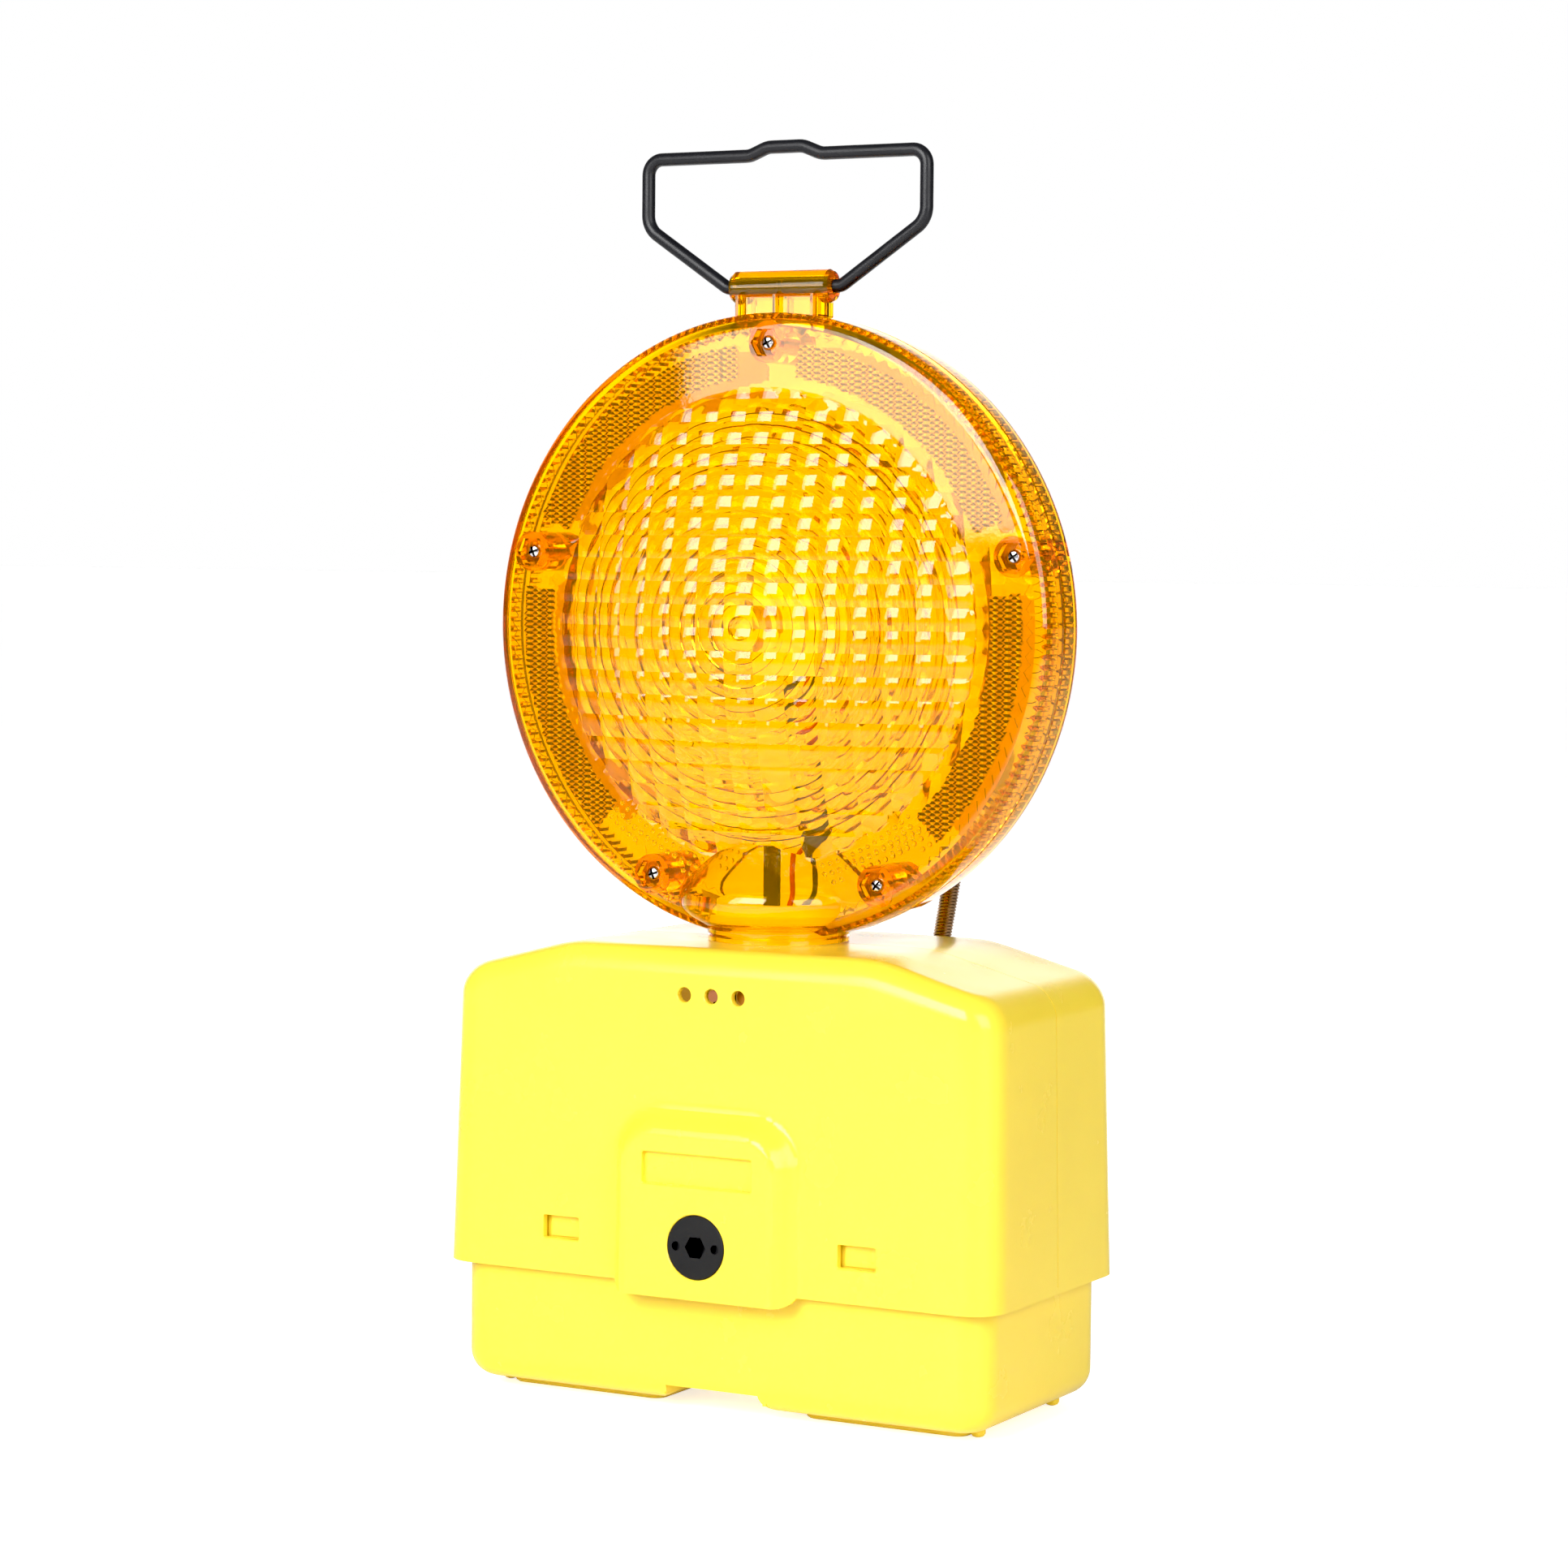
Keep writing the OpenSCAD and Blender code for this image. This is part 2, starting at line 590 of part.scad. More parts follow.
// Bend geometry of a flat outline p whose corner i has the radius b[i]
function turn(p, i) = let (u = unit(p[i] - p[i - 1]), v = unit(p[i + 1] - p[i]))
    atan2(u[0] * v[1] - u[1] * v[0], u * v);
function bend_points(p, b, i, n = 5) = b[i] == 0 ? [p[i]] : let (
        angle = turn(p, i),
        side = sign(angle),
        u = unit(p[i] - p[i - 1]),
        centre = p[i] - u * b[i] * tan(abs(angle) / 2) + side * b[i] * [-u[1], u[0]],
        start = atan2(u[1], u[0]) - side * 90)
    [for (k = [0:n]) centre + b[i] * [cos(start + angle * k / n), sin(start + angle * k / n)]];

module handle() color([0.08, 0.08, 0.09]) at_lens() translate([0, 0, barrel_up]) {
    half = [for (i = [0:len(bail) - 1]) each bend_points(bail, bail_bend, i)];
    full = concat(half, [for (i = [len(half) - 2:-1:0]) [-half[i][0], half[i][1]]]);
    tube([for (p = full) [p[0], 0, p[1]]], wire_r * 0.995, 14, [0, 1, 0]);
    for (s = [-1, 1]) rotate([0, s * 90, 0]) translate([0, 0, pin_from])
        cylinder(r = wire_r, h = pin_to - pin_from);
}

// Things placed along the leaning bolt, with its axis along Z and its pivot at 0
module at_bolt() translate(pivot) rotate([-bolt_lean, 0, 0]) children();

module fixing_bolt() color([0.5, 0.4, 0.3]) at_bolt() difference() {
    union() {
        translate([-eye_w / 2, 0, 0]) rotate([0, 90, 0]) cylinder(r = eye_r, h = eye_w);
        cylinder(r = core_r, h = bolt_l);
        translate([0, 0, thread_from]) cylinder(r = bolt_r, h = bolt_l - thread_from);
    }
    translate([-eye_w, 0, 0]) rotate([0, 90, 0]) cylinder(r = pin_r + run_gap, h = 2 * eye_w);
}

module bolt_washer() color([0.75, 0.75, 0.78]) at_bolt() translate([0, 0, washer_at]) difference() {
    cylinder(r = 6.2, h = 1.6);
    translate([0, 0, -1]) cylinder(r = core_r + run_gap, h = 4);
}

module wing_nut() color([0.75, 0.75, 0.78]) at_bolt() translate([0, 0, nut_at]) difference() {
    union() {
        cylinder(r = 5.2, h = nut_h);
        for (s = [-1, 1]) translate([s * 8, 1, 6.6]) {
            rotate([90, 0, 0]) cylinder(r = 3.2, h = 2);
            translate([-3 - s * 3, -2, -5]) cube([6, 2, 5]);
        }
    }
    translate([0, 0, -1]) cylinder(r = core_r + run_gap, h = nut_h + 6);
}

base_tray();
case_gasket();
battery_left();
battery_right();
battery_springs();
top_cover();
neck_seal();
contact_carrier();
contact_strips();
control_board();
board_parts();
photocell();
board_screws();
red_lead();
black_lead();
pivot_pin();
lock_screw();
lock_cam();
lock_clip();
mode_button();
lens_front();
lens_back();
reflex_front();
reflex_back();
lens_screws();
led_board();
led_mast();
leds();
red_wire();
black_wire();
handle();
fixing_bolt();
bolt_washer();
wing_nut();
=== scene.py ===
import json
from math import atan2, cos, pi, radians, sin, sqrt, tan

import bmesh
import bpy
import numpy as np
from mathutils import Matrix, Vector


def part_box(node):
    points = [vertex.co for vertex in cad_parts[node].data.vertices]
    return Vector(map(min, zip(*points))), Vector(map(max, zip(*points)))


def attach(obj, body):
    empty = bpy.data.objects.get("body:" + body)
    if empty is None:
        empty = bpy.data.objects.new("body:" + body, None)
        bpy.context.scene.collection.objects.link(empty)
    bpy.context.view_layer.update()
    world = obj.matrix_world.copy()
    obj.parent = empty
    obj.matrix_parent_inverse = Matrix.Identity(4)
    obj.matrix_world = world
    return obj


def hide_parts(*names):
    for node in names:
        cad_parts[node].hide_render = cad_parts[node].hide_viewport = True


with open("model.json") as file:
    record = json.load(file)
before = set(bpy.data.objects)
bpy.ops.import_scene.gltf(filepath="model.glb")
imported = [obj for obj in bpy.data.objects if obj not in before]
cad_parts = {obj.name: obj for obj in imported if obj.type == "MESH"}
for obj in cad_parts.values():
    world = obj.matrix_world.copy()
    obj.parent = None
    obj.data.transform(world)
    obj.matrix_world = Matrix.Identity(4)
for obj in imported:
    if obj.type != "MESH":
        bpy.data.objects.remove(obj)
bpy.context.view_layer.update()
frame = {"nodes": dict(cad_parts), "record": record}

# ---------------------------------------------------------------- sizes, in millimetres
MM = 0.001


def centre(node):
    """Middle of a CAD node's box, in millimetres."""
    low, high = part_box(node)
    return (np.array(low) + np.array(high)) / 2 / MM


def joint_place(name):
    """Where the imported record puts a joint, in millimetres."""
    joints = frame["record"]["behaviour"]["joints"]
    return np.array(next(j for j in joints if j["name"] == name)["pos_m"]) / MM


LENS = centre("led_board")
HEAD_Y = LENS[1]
LENS_Z = LENS[2]
BARREL_Z = joint_place("handle_fold")[2]
PIVOT = joint_place("bolt_swing")
LOCK_Z = joint_place("lock_turn")[2]

# case: half widths and half depths at the lower edges, and heights above the floor
CASE_X, CASE_Y, EDGE_Z, TOP_Z = 92.6, 45.2, 38.6, 137.2
PLATEAU_X, SHOULDER_DROP, DRAFT = 51, 10.4, 1.8
WALL = 2.4
CORNER_R, RIDGE_R = 11, 7.5
BLOCK_Y, BLOCK_BASE, BLOCK_TOP, BLOCK_HALF = 51, 35.8, 87.5, 28
TRAY_X, TRAY_Y, TRAY_TOP, PAD_H = 88.4, 41.4, 60, 2.6
PAD_X, BAY_WALL_X = 50.5, 17.1
LABEL_Z, LABEL_W, LABEL_H = 73.6, 36.8, 9.4
WINDOW_X, WINDOW_Z, WINDOW_W, WINDOW_H = 49.7, 51.9, 12.4, 6.9
HOLE_Z, HOLE_PITCH, HOLE_R = 123.9, 9, 2.25
CHANNEL_X, CHANNEL_TOP, CHANNEL_R = 15.5, 7.6, 5
OUTSIDE = 120

# head: the ring round the lens axis, and the neck below it
RING_R, RING_HALF = 93, 12.1
DOME_R, DOME_H = 70.7, 15.9
DOME_BALL = (DOME_R ** 2 + DOME_H ** 2) / (2 * DOME_H)
LENS_WALL = 2.2
NECK_LOW = 137.55
SPIGOT_R, SPIGOT_BORE, SPIGOT_TOP = 18.8, 15.5, 148.6
SCREW_R, SCREW_SEAT = 84, RING_HALF - 3
SCREW_ANGLES = (15, 90, 165, 243.1, 296.9)
REFLEX_ARCS = ((22, 61), (97, 61), (172, 55), (313, 55))
REFLEX_IN, REFLEX_OUT = 73.6, 84.6

WIRE_R = 2
LOCK_R, LOCK_SHANK_R = 9.5, 6.5
BOLT_LEAN = radians(20)
NUT_BORE = 2.96


# ---------------------------------------------------------------- mesh tools
def add_object(name, verts, faces):
    """Object from points in millimetres, with its faces turned outwards."""
    mesh = bpy.data.meshes.new(name)
    mesh.from_pydata((np.asarray(verts, float) * MM).tolist(), [], faces)
    bm = bmesh.new()
    bm.from_mesh(mesh)
    bmesh.ops.recalc_face_normals(bm, faces=bm.faces)
    bm.to_mesh(mesh)
    bm.free()
    obj = bpy.data.objects.new(name, mesh)
    bpy.context.scene.collection.objects.link(obj)
    return obj


def combine(obj, operation, others):
    """Joins or cuts obj with closed meshes, which are used up."""
    for other in others:
        modifier = obj.modifiers.new("combine", "BOOLEAN")
        modifier.operation = operation
        modifier.solver = "MANIFOLD"
        modifier.object = other
    bpy.context.view_layer.update()
    graph = bpy.context.evaluated_depsgraph_get()
    mesh = bpy.data.meshes.new_from_object(obj.evaluated_get(graph))
    obj.modifiers.clear()
    obj.data = mesh
    for other in others:
        bpy.data.objects.remove(other)
    return obj


def join(obj, *others):
    return combine(obj, "UNION", others)


def cut(obj, *others):
    return combine(obj, "DIFFERENCE", others)


def smooth(obj, angle=30):
    """Smooth shading with edges sharper than the angle kept crisp."""
    mesh = obj.data
    mesh.polygons.foreach_set("use_smooth", [True] * len(mesh.polygons))
    mesh.set_sharp_from_angle(angle=radians(angle))
    return obj


def to_axis(points, axis, origin):
    """Turns (radius cos, radius sin, height) points so that the height runs along an axis."""
    p = np.asarray(points, float)
    if axis == "x":
        p = p[:, [2, 0, 1]]
    elif axis == "y":
        p = p[:, [1, 2, 0]]
    elif axis == "-y":
        p = p[:, [0, 2, 1]] * (1, -1, 1)
    return p + origin


def loft(loops, caps=(True, True)):
    """Mesh through loops of points; loops of different lengths are stitched by their order."""
    verts, faces, starts = [], [], []
    for loop in loops:
        starts.append(len(verts))
        verts.extend(loop)
    for a, b in zip(range(len(loops) - 1), range(1, len(loops))):
        na, nb = len(loops[a]), len(loops[b])
        sa, sb = starts[a], starts[b]
        if na == nb:
            faces += [(sa + i, sa + (i + 1) % na, sb + (i + 1) % nb, sb + i) for i in range(na)]
            continue
        i = j = 0
        while i < na or j < nb:
            if j >= nb or (i < na and (i + 0.5) / na <= (j + 0.5) / nb):
                faces.append((sa + i % na, sa + (i + 1) % na, sb + j % nb))
                i += 1
            else:
                faces.append((sa + i % na, sb + (j + 1) % nb, sb + j % nb))
                j += 1
    if caps[0]:
        faces.append(tuple(starts[0] + i for i in range(len(loops[0]))))
    if caps[1]:
        faces.append(tuple(starts[-1] + i for i in range(len(loops[-1]))))
    return verts, faces


def circle(radius, height, n, wave=None):
    """Loop of n points about the height axis; wave(turn) adds to the radius."""
    turns = np.arange(n) / n
    r = radius + (wave(turns) if wave else 0)
    around = 2 * pi * turns
    return np.stack([r * np.cos(around), r * np.sin(around), np.full(n, float(height))], 1)


def lathe(name, profile, axis="z", origin=(0, 0, 0), n=64):
    """Solid of revolution from (radius, height) pairs, closed with flat ends."""
    verts, faces = loft([circle(r, h, n) for r, h in profile])
    return add_object(name, to_axis(verts, axis, origin), faces)


def cylinder(radius, low, high, axis="z", origin=(0, 0, 0), n=48):
    return lathe("tool", [(radius, low), (radius, high)], axis, origin, n)


def prism(outline, low, high, axis="z", origin=(0, 0, 0)):
    """Extrusion of a flat outline along an axis."""
    loops = [np.array([(a, b, h) for a, b in outline]) for h in (low, high)]
    verts, faces = loft(loops)
    return add_object("tool", to_axis(verts, axis, origin), faces)


def block(low, high):
    """Plain box used as a tool."""
    (x0, y0, z0), (x1, y1, z1) = low, high
    return prism([(x0, y0), (x1, y0), (x1, y1), (x0, y1)], z0, z1)


def arc(cx, cy, r, start, stop, n=8):
    """Points on an arc between two angles in degrees."""
    angles = np.radians(np.linspace(start, stop, n + 1))
    return [(cx + r * cos(a), cy + r * sin(a)) for a in angles]


def rounded(half_x, half_y, r, n=6):
    """Rectangle outline with round corners."""
    corners = ((1, 1, 0), (-1, 1, 90), (-1, -1, 180), (1, -1, 270))
    return [p for sx, sy, a in corners
            for p in arc(sx * (half_x - r), sy * (half_y - r), r, a, a + 90, n)]


def sweep(name, path, radius, sides):
    """Round tube along a path, with a frame carried along it."""
    path = np.asarray(path, float)
    tangents = np.gradient(path, axis=0)
    tangents /= np.linalg.norm(tangents, axis=1)[:, None]
    side = np.cross(tangents[0], (0.3, 0.9, 0.31))
    turns = 2 * pi * np.arange(sides) / sides
    loops = []
    for point, tangent in zip(path, tangents):
        side = side - tangent * side.dot(tangent)
        side /= np.linalg.norm(side)
        up = np.cross(tangent, side)
        loops.append(point + radius * (np.outer(np.cos(turns), side) + np.outer(np.sin(turns), up)))
    return add_object(name, *loft(loops))


def bend(points, radii, step=6):
    """Corners of a flat outline replaced with arcs; a radius of 0 keeps its point."""
    points = [np.array(p, float) for p in points]
    out = [points[0]]
    for before, here, after, r in zip(points, points[1:], points[2:], radii[1:]):
        u = (here - before) / np.linalg.norm(here - before)
        v = (after - here) / np.linalg.norm(after - here)
        turn = np.arccos(np.clip(u.dot(v), -1, 1))
        if r == 0 or turn < 1e-3:
            out.append(here)
            continue
        reach = r * tan(turn / 2)
        middle = (here - u * reach) + (v - u * u.dot(v)) / sin(turn) * r
        start = here - u * reach - middle
        across = u * r
        count = max(3, int(np.degrees(turn) / step))
        angles = [turn * k / count for k in range(count + 1)]
        out += [middle + start * cos(a) + across * sin(a) for a in angles]
    return out + [points[-1]]


def skin(distance, half, cells, lift, origin):
    """Points of a fine box grid pushed out from the origin to where the distance equals lift."""
    counts = np.array(cells)
    index = -np.ones(counts + 1, int)
    edge = np.zeros(counts + 1, bool)
    for k in range(3):
        face = [slice(None)] * 3
        for face[k] in (0, -1):
            edge[tuple(face)] = True
    index[edge] = np.arange(edge.sum())
    rays = (np.argwhere(edge) / counts * 2 - 1) * half
    near, far = np.zeros(len(rays)), np.full(len(rays), 2.5)
    for _ in range(34):
        middle = (near + far) / 2
        out = distance(rays * middle[:, None] + origin) > lift
        far[out] = middle[out]
        near[~out] = middle[~out]
    faces = []
    for k in range(3):
        for end in (0, -1):
            grid = np.take(index, 0 if end == 0 else counts[k], axis=k)
            quads = [grid[:-1, :-1], grid[1:, :-1], grid[1:, 1:], grid[:-1, 1:]]
            faces += np.stack(quads, -1).reshape(-1, 4).tolist()
    return rays * near[:, None] + origin, faces


# ---------------------------------------------------------------- materials
def links(tree, kind, **inputs):
    """New shader node; sockets are linked or set by name, and other names are the node's settings."""
    node = tree.nodes.new(kind)
    for key, value in inputs.items():
        name = key.replace("_", " ")
        socket = node.inputs[name] if name in node.inputs else None
        if socket is None:
            setattr(node, key, value)
        elif isinstance(value, bpy.types.NodeSocket):
            tree.links.new(value, socket)
        else:
            socket.default_value = value
    return node


RELIEF_DEPTH = 0.0001


def surface(name, color, vary, patch, rough, rough_vary, grain, bump, **shader):
    """Moulded or coated material: soft colour patches, uneven gloss and a fine skin relief."""
    material = bpy.data.materials.new(name)
    material.use_nodes = True
    tree = material.node_tree
    tree.nodes.clear()
    place = links(tree, "ShaderNodeTexCoord").outputs["Object"]
    patches = links(tree, "ShaderNodeTexNoise", Vector=place, Scale=patch, Detail=4.0)
    blend = links(tree, "ShaderNodeValToRGB", Fac=patches.outputs["Fac"])
    dark, light = blend.color_ramp.elements
    dark.position, light.position = 0.3, 0.7
    dark.color = [c * (1 - vary) for c in color] + [1]
    light.color = [min(1, c * (1 + vary)) for c in color] + [1]
    fine = links(tree, "ShaderNodeTexNoise", Vector=place, Scale=grain, Detail=3.0)
    smudge = links(tree, "ShaderNodeTexNoise", Vector=place, Scale=patch * 3.1, Detail=5.0)
    gloss = links(tree, "ShaderNodeMapRange", Value=smudge.outputs["Fac"], From_Min=0.3, From_Max=0.7,
                  To_Min=max(0.01, rough - rough_vary), To_Max=rough + rough_vary)
    relief = links(tree, "ShaderNodeBump", Height=fine.outputs["Fac"], Strength=bump,
                   Distance=RELIEF_DEPTH)
    principled = links(tree, "ShaderNodeBsdfPrincipled", Base_Color=blend.outputs["Color"],
                       Roughness=gloss.outputs["Result"], Normal=relief.outputs["Normal"])
    for key, value in shader.items():
        principled.inputs[key.replace("_", " ")].default_value = value
    output = links(tree, "ShaderNodeOutputMaterial")
    tree.links.new(principled.outputs["BSDF"], output.inputs["Surface"])
    return material


def thicken_colour(material, color, density):
    """Clear plastic whose colour deepens with its thickness."""
    tree = material.node_tree
    inside = links(tree, "ShaderNodeVolumeAbsorption", Color=(*color, 1), Density=density)
    output = next(n for n in tree.nodes if n.type == "OUTPUT_MATERIAL")
    tree.links.new(inside.outputs["Volume"], output.inputs["Volume"])


def painted_glow_above(material, color, glow, low, high):
    """Board that changes to a paler colour and a painted glow between two heights."""
    tree = material.node_tree
    place = links(tree, "ShaderNodeTexCoord").outputs["Object"]
    height = links(tree, "ShaderNodeSeparateXYZ", Vector=place).outputs["Z"]
    share = links(tree, "ShaderNodeMapRange", Value=height, From_Min=low * MM, From_Max=high * MM)
    shader = next(n for n in tree.nodes if n.type == "BSDF_PRINCIPLED")
    blend = links(tree, "ShaderNodeMix", data_type="RGBA")
    tree.links.new(share.outputs["Result"], blend.inputs[0])
    tree.links.new(shader.inputs["Base Color"].links[0].from_socket, blend.inputs[6])
    blend.inputs[7].default_value = (*color, 1)
    tree.links.new(blend.outputs[2], shader.inputs["Base Color"])
    # the paler colour is also painted on as a glow
    gleam = links(tree, "ShaderNodeMix", data_type="RGBA")
    tree.links.new(share.outputs["Result"], gleam.inputs[0])
    gleam.inputs[6].default_value = (0, 0, 0, 1)
    gleam.inputs[7].default_value = (*color, 1)
    tree.links.new(gleam.outputs[2], shader.inputs["Emission Color"])
    shader.inputs["Emission Strength"].default_value = glow


# colour, its variation, patches per metre, roughness, its variation, grains per metre, relief
MATERIALS = {name: surface(name, *look, **shader) for name, look, shader in (
    ("yellow_shell", ((0.98, 0.72, 0.06), 0.03, 18, 0.24, 0.05, 1400, 0.12),
     {"Coat_Weight": 0.1, "Coat_Roughness": 0.08, "Specular_IOR_Level": 0.4,
      "Subsurface_Weight": 0.08, "Subsurface_Scale": 0.004}),
    # painted glow: the spigot top's yellow also glows, though it is no lamp
    ("spigot_painted_glow", ((0.98, 0.78, 0.06), 0.03, 18, 0.24, 0.05, 1400, 0.12),
     {"Emission_Color": (1, 0.85, 0.1, 1), "Emission_Strength": 0.6}),
    ("amber_lens", ((1.0, 0.65, 0.015), 0.03, 20, 0.03, 0.02, 500, 0.05),
     {"Transmission_Weight": 0.95, "IOR": 1.49}),
    # painted glow: the reflector's amber prisms glow a little
    ("reflex_prism", ((1.0, 0.7, 0.04), 0.1, 60, 0.2, 0.08, 800, 0.05),
     {"Emission_Color": (1, 0.45, 0.02, 1), "Emission_Strength": 0.2}),
    # painted shade and painted light for the prism facets by the way they face; the lit one also glows
    ("prism_painted_shade", ((0.08, 0.025, 0.002), 0.2, 60, 0.3, 0.08, 800, 0.05), {}),
    ("prism_painted_light", ((1.0, 0.95, 0.6), 0.05, 60, 0.15, 0.05, 800, 0.05),
     {"Emission_Color": (1, 0.75, 0.2, 1), "Emission_Strength": 0.7}),
    ("black_wire_coat", ((0.012, 0.012, 0.014), 0.15, 60, 0.36, 0.08, 1800, 0.3),
     {"Specular_IOR_Level": 0.35}),
    ("black_plastic", ((0.01, 0.01, 0.011), 0.15, 50, 0.42, 0.08, 1500, 0.35),
     {"Specular_IOR_Level": 0.3}),
    ("screw_chrome", ((0.8, 0.8, 0.82), 0.05, 120, 0.18, 0.06, 1500, 0.1), {"Metallic": 1.0}),
    # painted shade: dark dull finish for the walls and floors of the screws' cross recesses
    ("screw_recess_painted_shade", ((0.05, 0.045, 0.04), 0.2, 120, 0.4, 0.1, 1500, 0.2), {"Metallic": 1.0}),
    ("bolt_steel", ((0.3, 0.19, 0.11), 0.35, 160, 0.34, 0.1, 1500, 0.25), {"Metallic": 1.0}),
    ("zinc_steel", ((0.68, 0.69, 0.72), 0.12, 140, 0.33, 0.1, 1400, 0.2), {"Metallic": 1.0}),
    ("seal_rubber", ((0.02, 0.02, 0.02), 0.2, 60, 0.6, 0.1, 900, 0.4), {}),
    ("battery_jacket", ((0.03, 0.06, 0.3), 0.08, 30, 0.35, 0.1, 700, 0.2), {}),
    ("brass_contact", ((0.8, 0.6, 0.25), 0.12, 150, 0.25, 0.1, 1200, 0.2), {"Metallic": 1.0}),
    # painted glow: the board behind the front holes glows a little
    ("green_board", ((0.7, 0.42, 0.08), 0.12, 200, 0.3, 0.1, 900, 0.3),
     {"Emission_Color": (1, 0.6, 0.1, 1), "Emission_Strength": 0.3}),
    # painted glow: the LED board inside the head glows, though the lamp is off
    ("white_board", ((0.85, 0.84, 0.78), 0.04, 120, 0.4, 0.1, 900, 0.2),
     {"Emission_Color": (1, 0.95, 0.6, 1), "Emission_Strength": 0.8}),
    ("dark_board", ((0.05, 0.03, 0.015), 0.3, 150, 0.45, 0.1, 900, 0.4), {}),
    ("dark_component", ((0.02, 0.02, 0.025), 0.2, 150, 0.4, 0.1, 900, 0.3), {}),
    ("sensor_window", ((0.5, 0.22, 0.04), 0.2, 150, 0.15, 0.05, 900, 0.1), {}),
    ("button_brown", ((0.3, 0.1, 0.03), 0.15, 150, 0.4, 0.1, 900, 0.2), {}),
    ("emitter", ((1.0, 0.85, 0.4), 0.05, 150, 0.15, 0.05, 900, 0.05), {}),
    ("red_insulation", ((0.7, 0.03, 0.015), 0.12, 150, 0.35, 0.1, 900, 0.2), {}),
    ("black_insulation", ((0.015, 0.015, 0.015), 0.2, 150, 0.35, 0.1, 900, 0.2), {}),
)}
thicken_colour(MATERIALS["amber_lens"], (1.0, 0.88, 0.1), 300)
# painted glow: the mast turns pale and glows above 165 to 168 mm
painted_glow_above(MATERIALS["dark_board"], (1.0, 0.95, 0.4), 0.5, 165, 168)
SLOT_OF = {part["node"]: part["material_slot"] for part in frame["record"]["subparts"]}


def dress(obj, slot):
    """Gives a mesh its only material."""
    obj.data.materials.clear()
    obj.data.materials.append(MATERIALS[slot])


def finish_piece(obj, name, nodes, body, angle=30):
    """A finished piece that stands for CAD nodes and rides on a body."""
    obj.name = name
    obj.data.name = name
    slot = SLOT_OF[nodes[0]]
    dress(obj, slot)
    smooth(obj, angle)
    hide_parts(*nodes)
    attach(obj, body)
    return obj


# ---------------------------------------------------------------- camera
# fitted to the photograph: the camera's axes and place in metres, and its lens in millimetres
RIGHT = Vector((0.87635, 0.48159, 0.00871))
UP = Vector((-0.03719, 0.04962, 0.99808))
FORWARD = Vector((-0.48023, 0.87499, -0.06140))
CAMERA_PLACE = (0.5870, -1.0691, 0.2589)
FOCAL, SENSOR = 93.66, 36

camera = bpy.data.objects.new("camera", bpy.data.cameras.new("camera"))
camera_axes = Matrix((RIGHT, UP, -FORWARD)).transposed().to_4x4()
camera.matrix_world = Matrix.Translation(CAMERA_PLACE) @ camera_axes
camera.data.lens = FOCAL
camera.data.sensor_width = SENSOR
camera.data.clip_start, camera.data.clip_end = 0.05, 50
bpy.context.scene.collection.objects.link(camera)
bpy.context.scene.camera = camera


# ---------------------------------------------------------------- cover
COVER_CENTRE = np.array((0, 0, 84.0))
COVER_HALF = np.array((CASE_X, CASE_Y, 53.2))
HOUSING_R, FLANK_HALF = 13, 3.4
TOP_BLEND = 1.6
FRONT_BAND = 6


def round_max(a, b, r):
    """Distance inside two shapes at once, with the edge between them rounded to r."""
    return np.minimum(-r, np.maximum(a, b)) + np.hypot(np.maximum(a + r, 0), np.maximum(b + r, 0))


def plan(p, half_x, half_y, r):
    """Distance from a rectangle with round corners, in plan."""
    qx, qy = np.abs(p[:, 0]) - (half_x - r), np.abs(p[:, 1]) - (half_y - r)
    return np.hypot(np.maximum(qx, 0), np.maximum(qy, 0)) + np.minimum(np.maximum(qx, qy), 0) - r


def cover_distance(p):
    """The leaning walls under a flat top that slopes down to both shoulders."""
    up = (p[:, 2] - EDGE_Z) / (TOP_Z - SHOULDER_DROP - EDGE_Z)
    walls = plan(p, CASE_X - DRAFT * up, CASE_Y - (DRAFT + 0.6) * up, CORNER_R)
    slope = SHOULDER_DROP / (CASE_X - DRAFT - PLATEAU_X)
    flat = p[:, 2] - TOP_Z
    fall = (flat + (np.abs(p[:, 0]) - PLATEAU_X) * slope) / sqrt(1 + slope ** 2)
    top = np.logaddexp(flat * TOP_BLEND, fall * TOP_BLEND) / TOP_BLEND
    return round_max(walls, top, RIDGE_R)


def housing(p, inset):
    """Pushes the front wall out over the lock housing, with soft flanks."""
    qx = np.abs(p[:, 0]) - (BLOCK_HALF - HOUSING_R)
    qz = p[:, 2] - (BLOCK_TOP - HOUSING_R)
    beside = np.hypot(np.maximum(qx, 0), np.maximum(qz, 0)) + np.minimum(np.maximum(qx, qz), 0) - HOUSING_R
    amount = np.clip(0.5 - beside / (2 * FLANK_HALF), 0, 1)
    amount = amount * amount * (3 - 2 * amount)
    front = p[:, 1] < -CASE_Y + FRONT_BAND + inset
    p[:, 1] += np.where(front, amount * (-BLOCK_Y + inset - p[:, 1]), 0)
    return p


def cover_skin(inset, cells):
    """Closed skin of the cover that runs on below its open edge."""
    points, faces = skin(cover_distance, COVER_HALF, cells, -inset, COVER_CENTRE)
    return add_object("cover", housing(points, inset), faces)


def window_cutter(cx, cz, half_w, half_h, y_face, deep, r=0.6):
    """Rectangular cutter centred on (cx, cz), opened out a little at its rim in a front face."""
    flare = 0.35
    corners = rounded(half_w, half_h, r, 3)
    outline = [(cx + a, cz + b) for a, b in corners]
    rim = [(x + np.sign(a) * flare, z + np.sign(b) * flare) for (x, z), (a, b) in zip(outline, corners)]
    loops = [(rim, -flare), (rim, 0), (outline, flare), (outline, deep)]
    return add_object("tool", *loft([np.array([(x, y_face + d, z) for x, z in loop]) for loop, d in loops]))


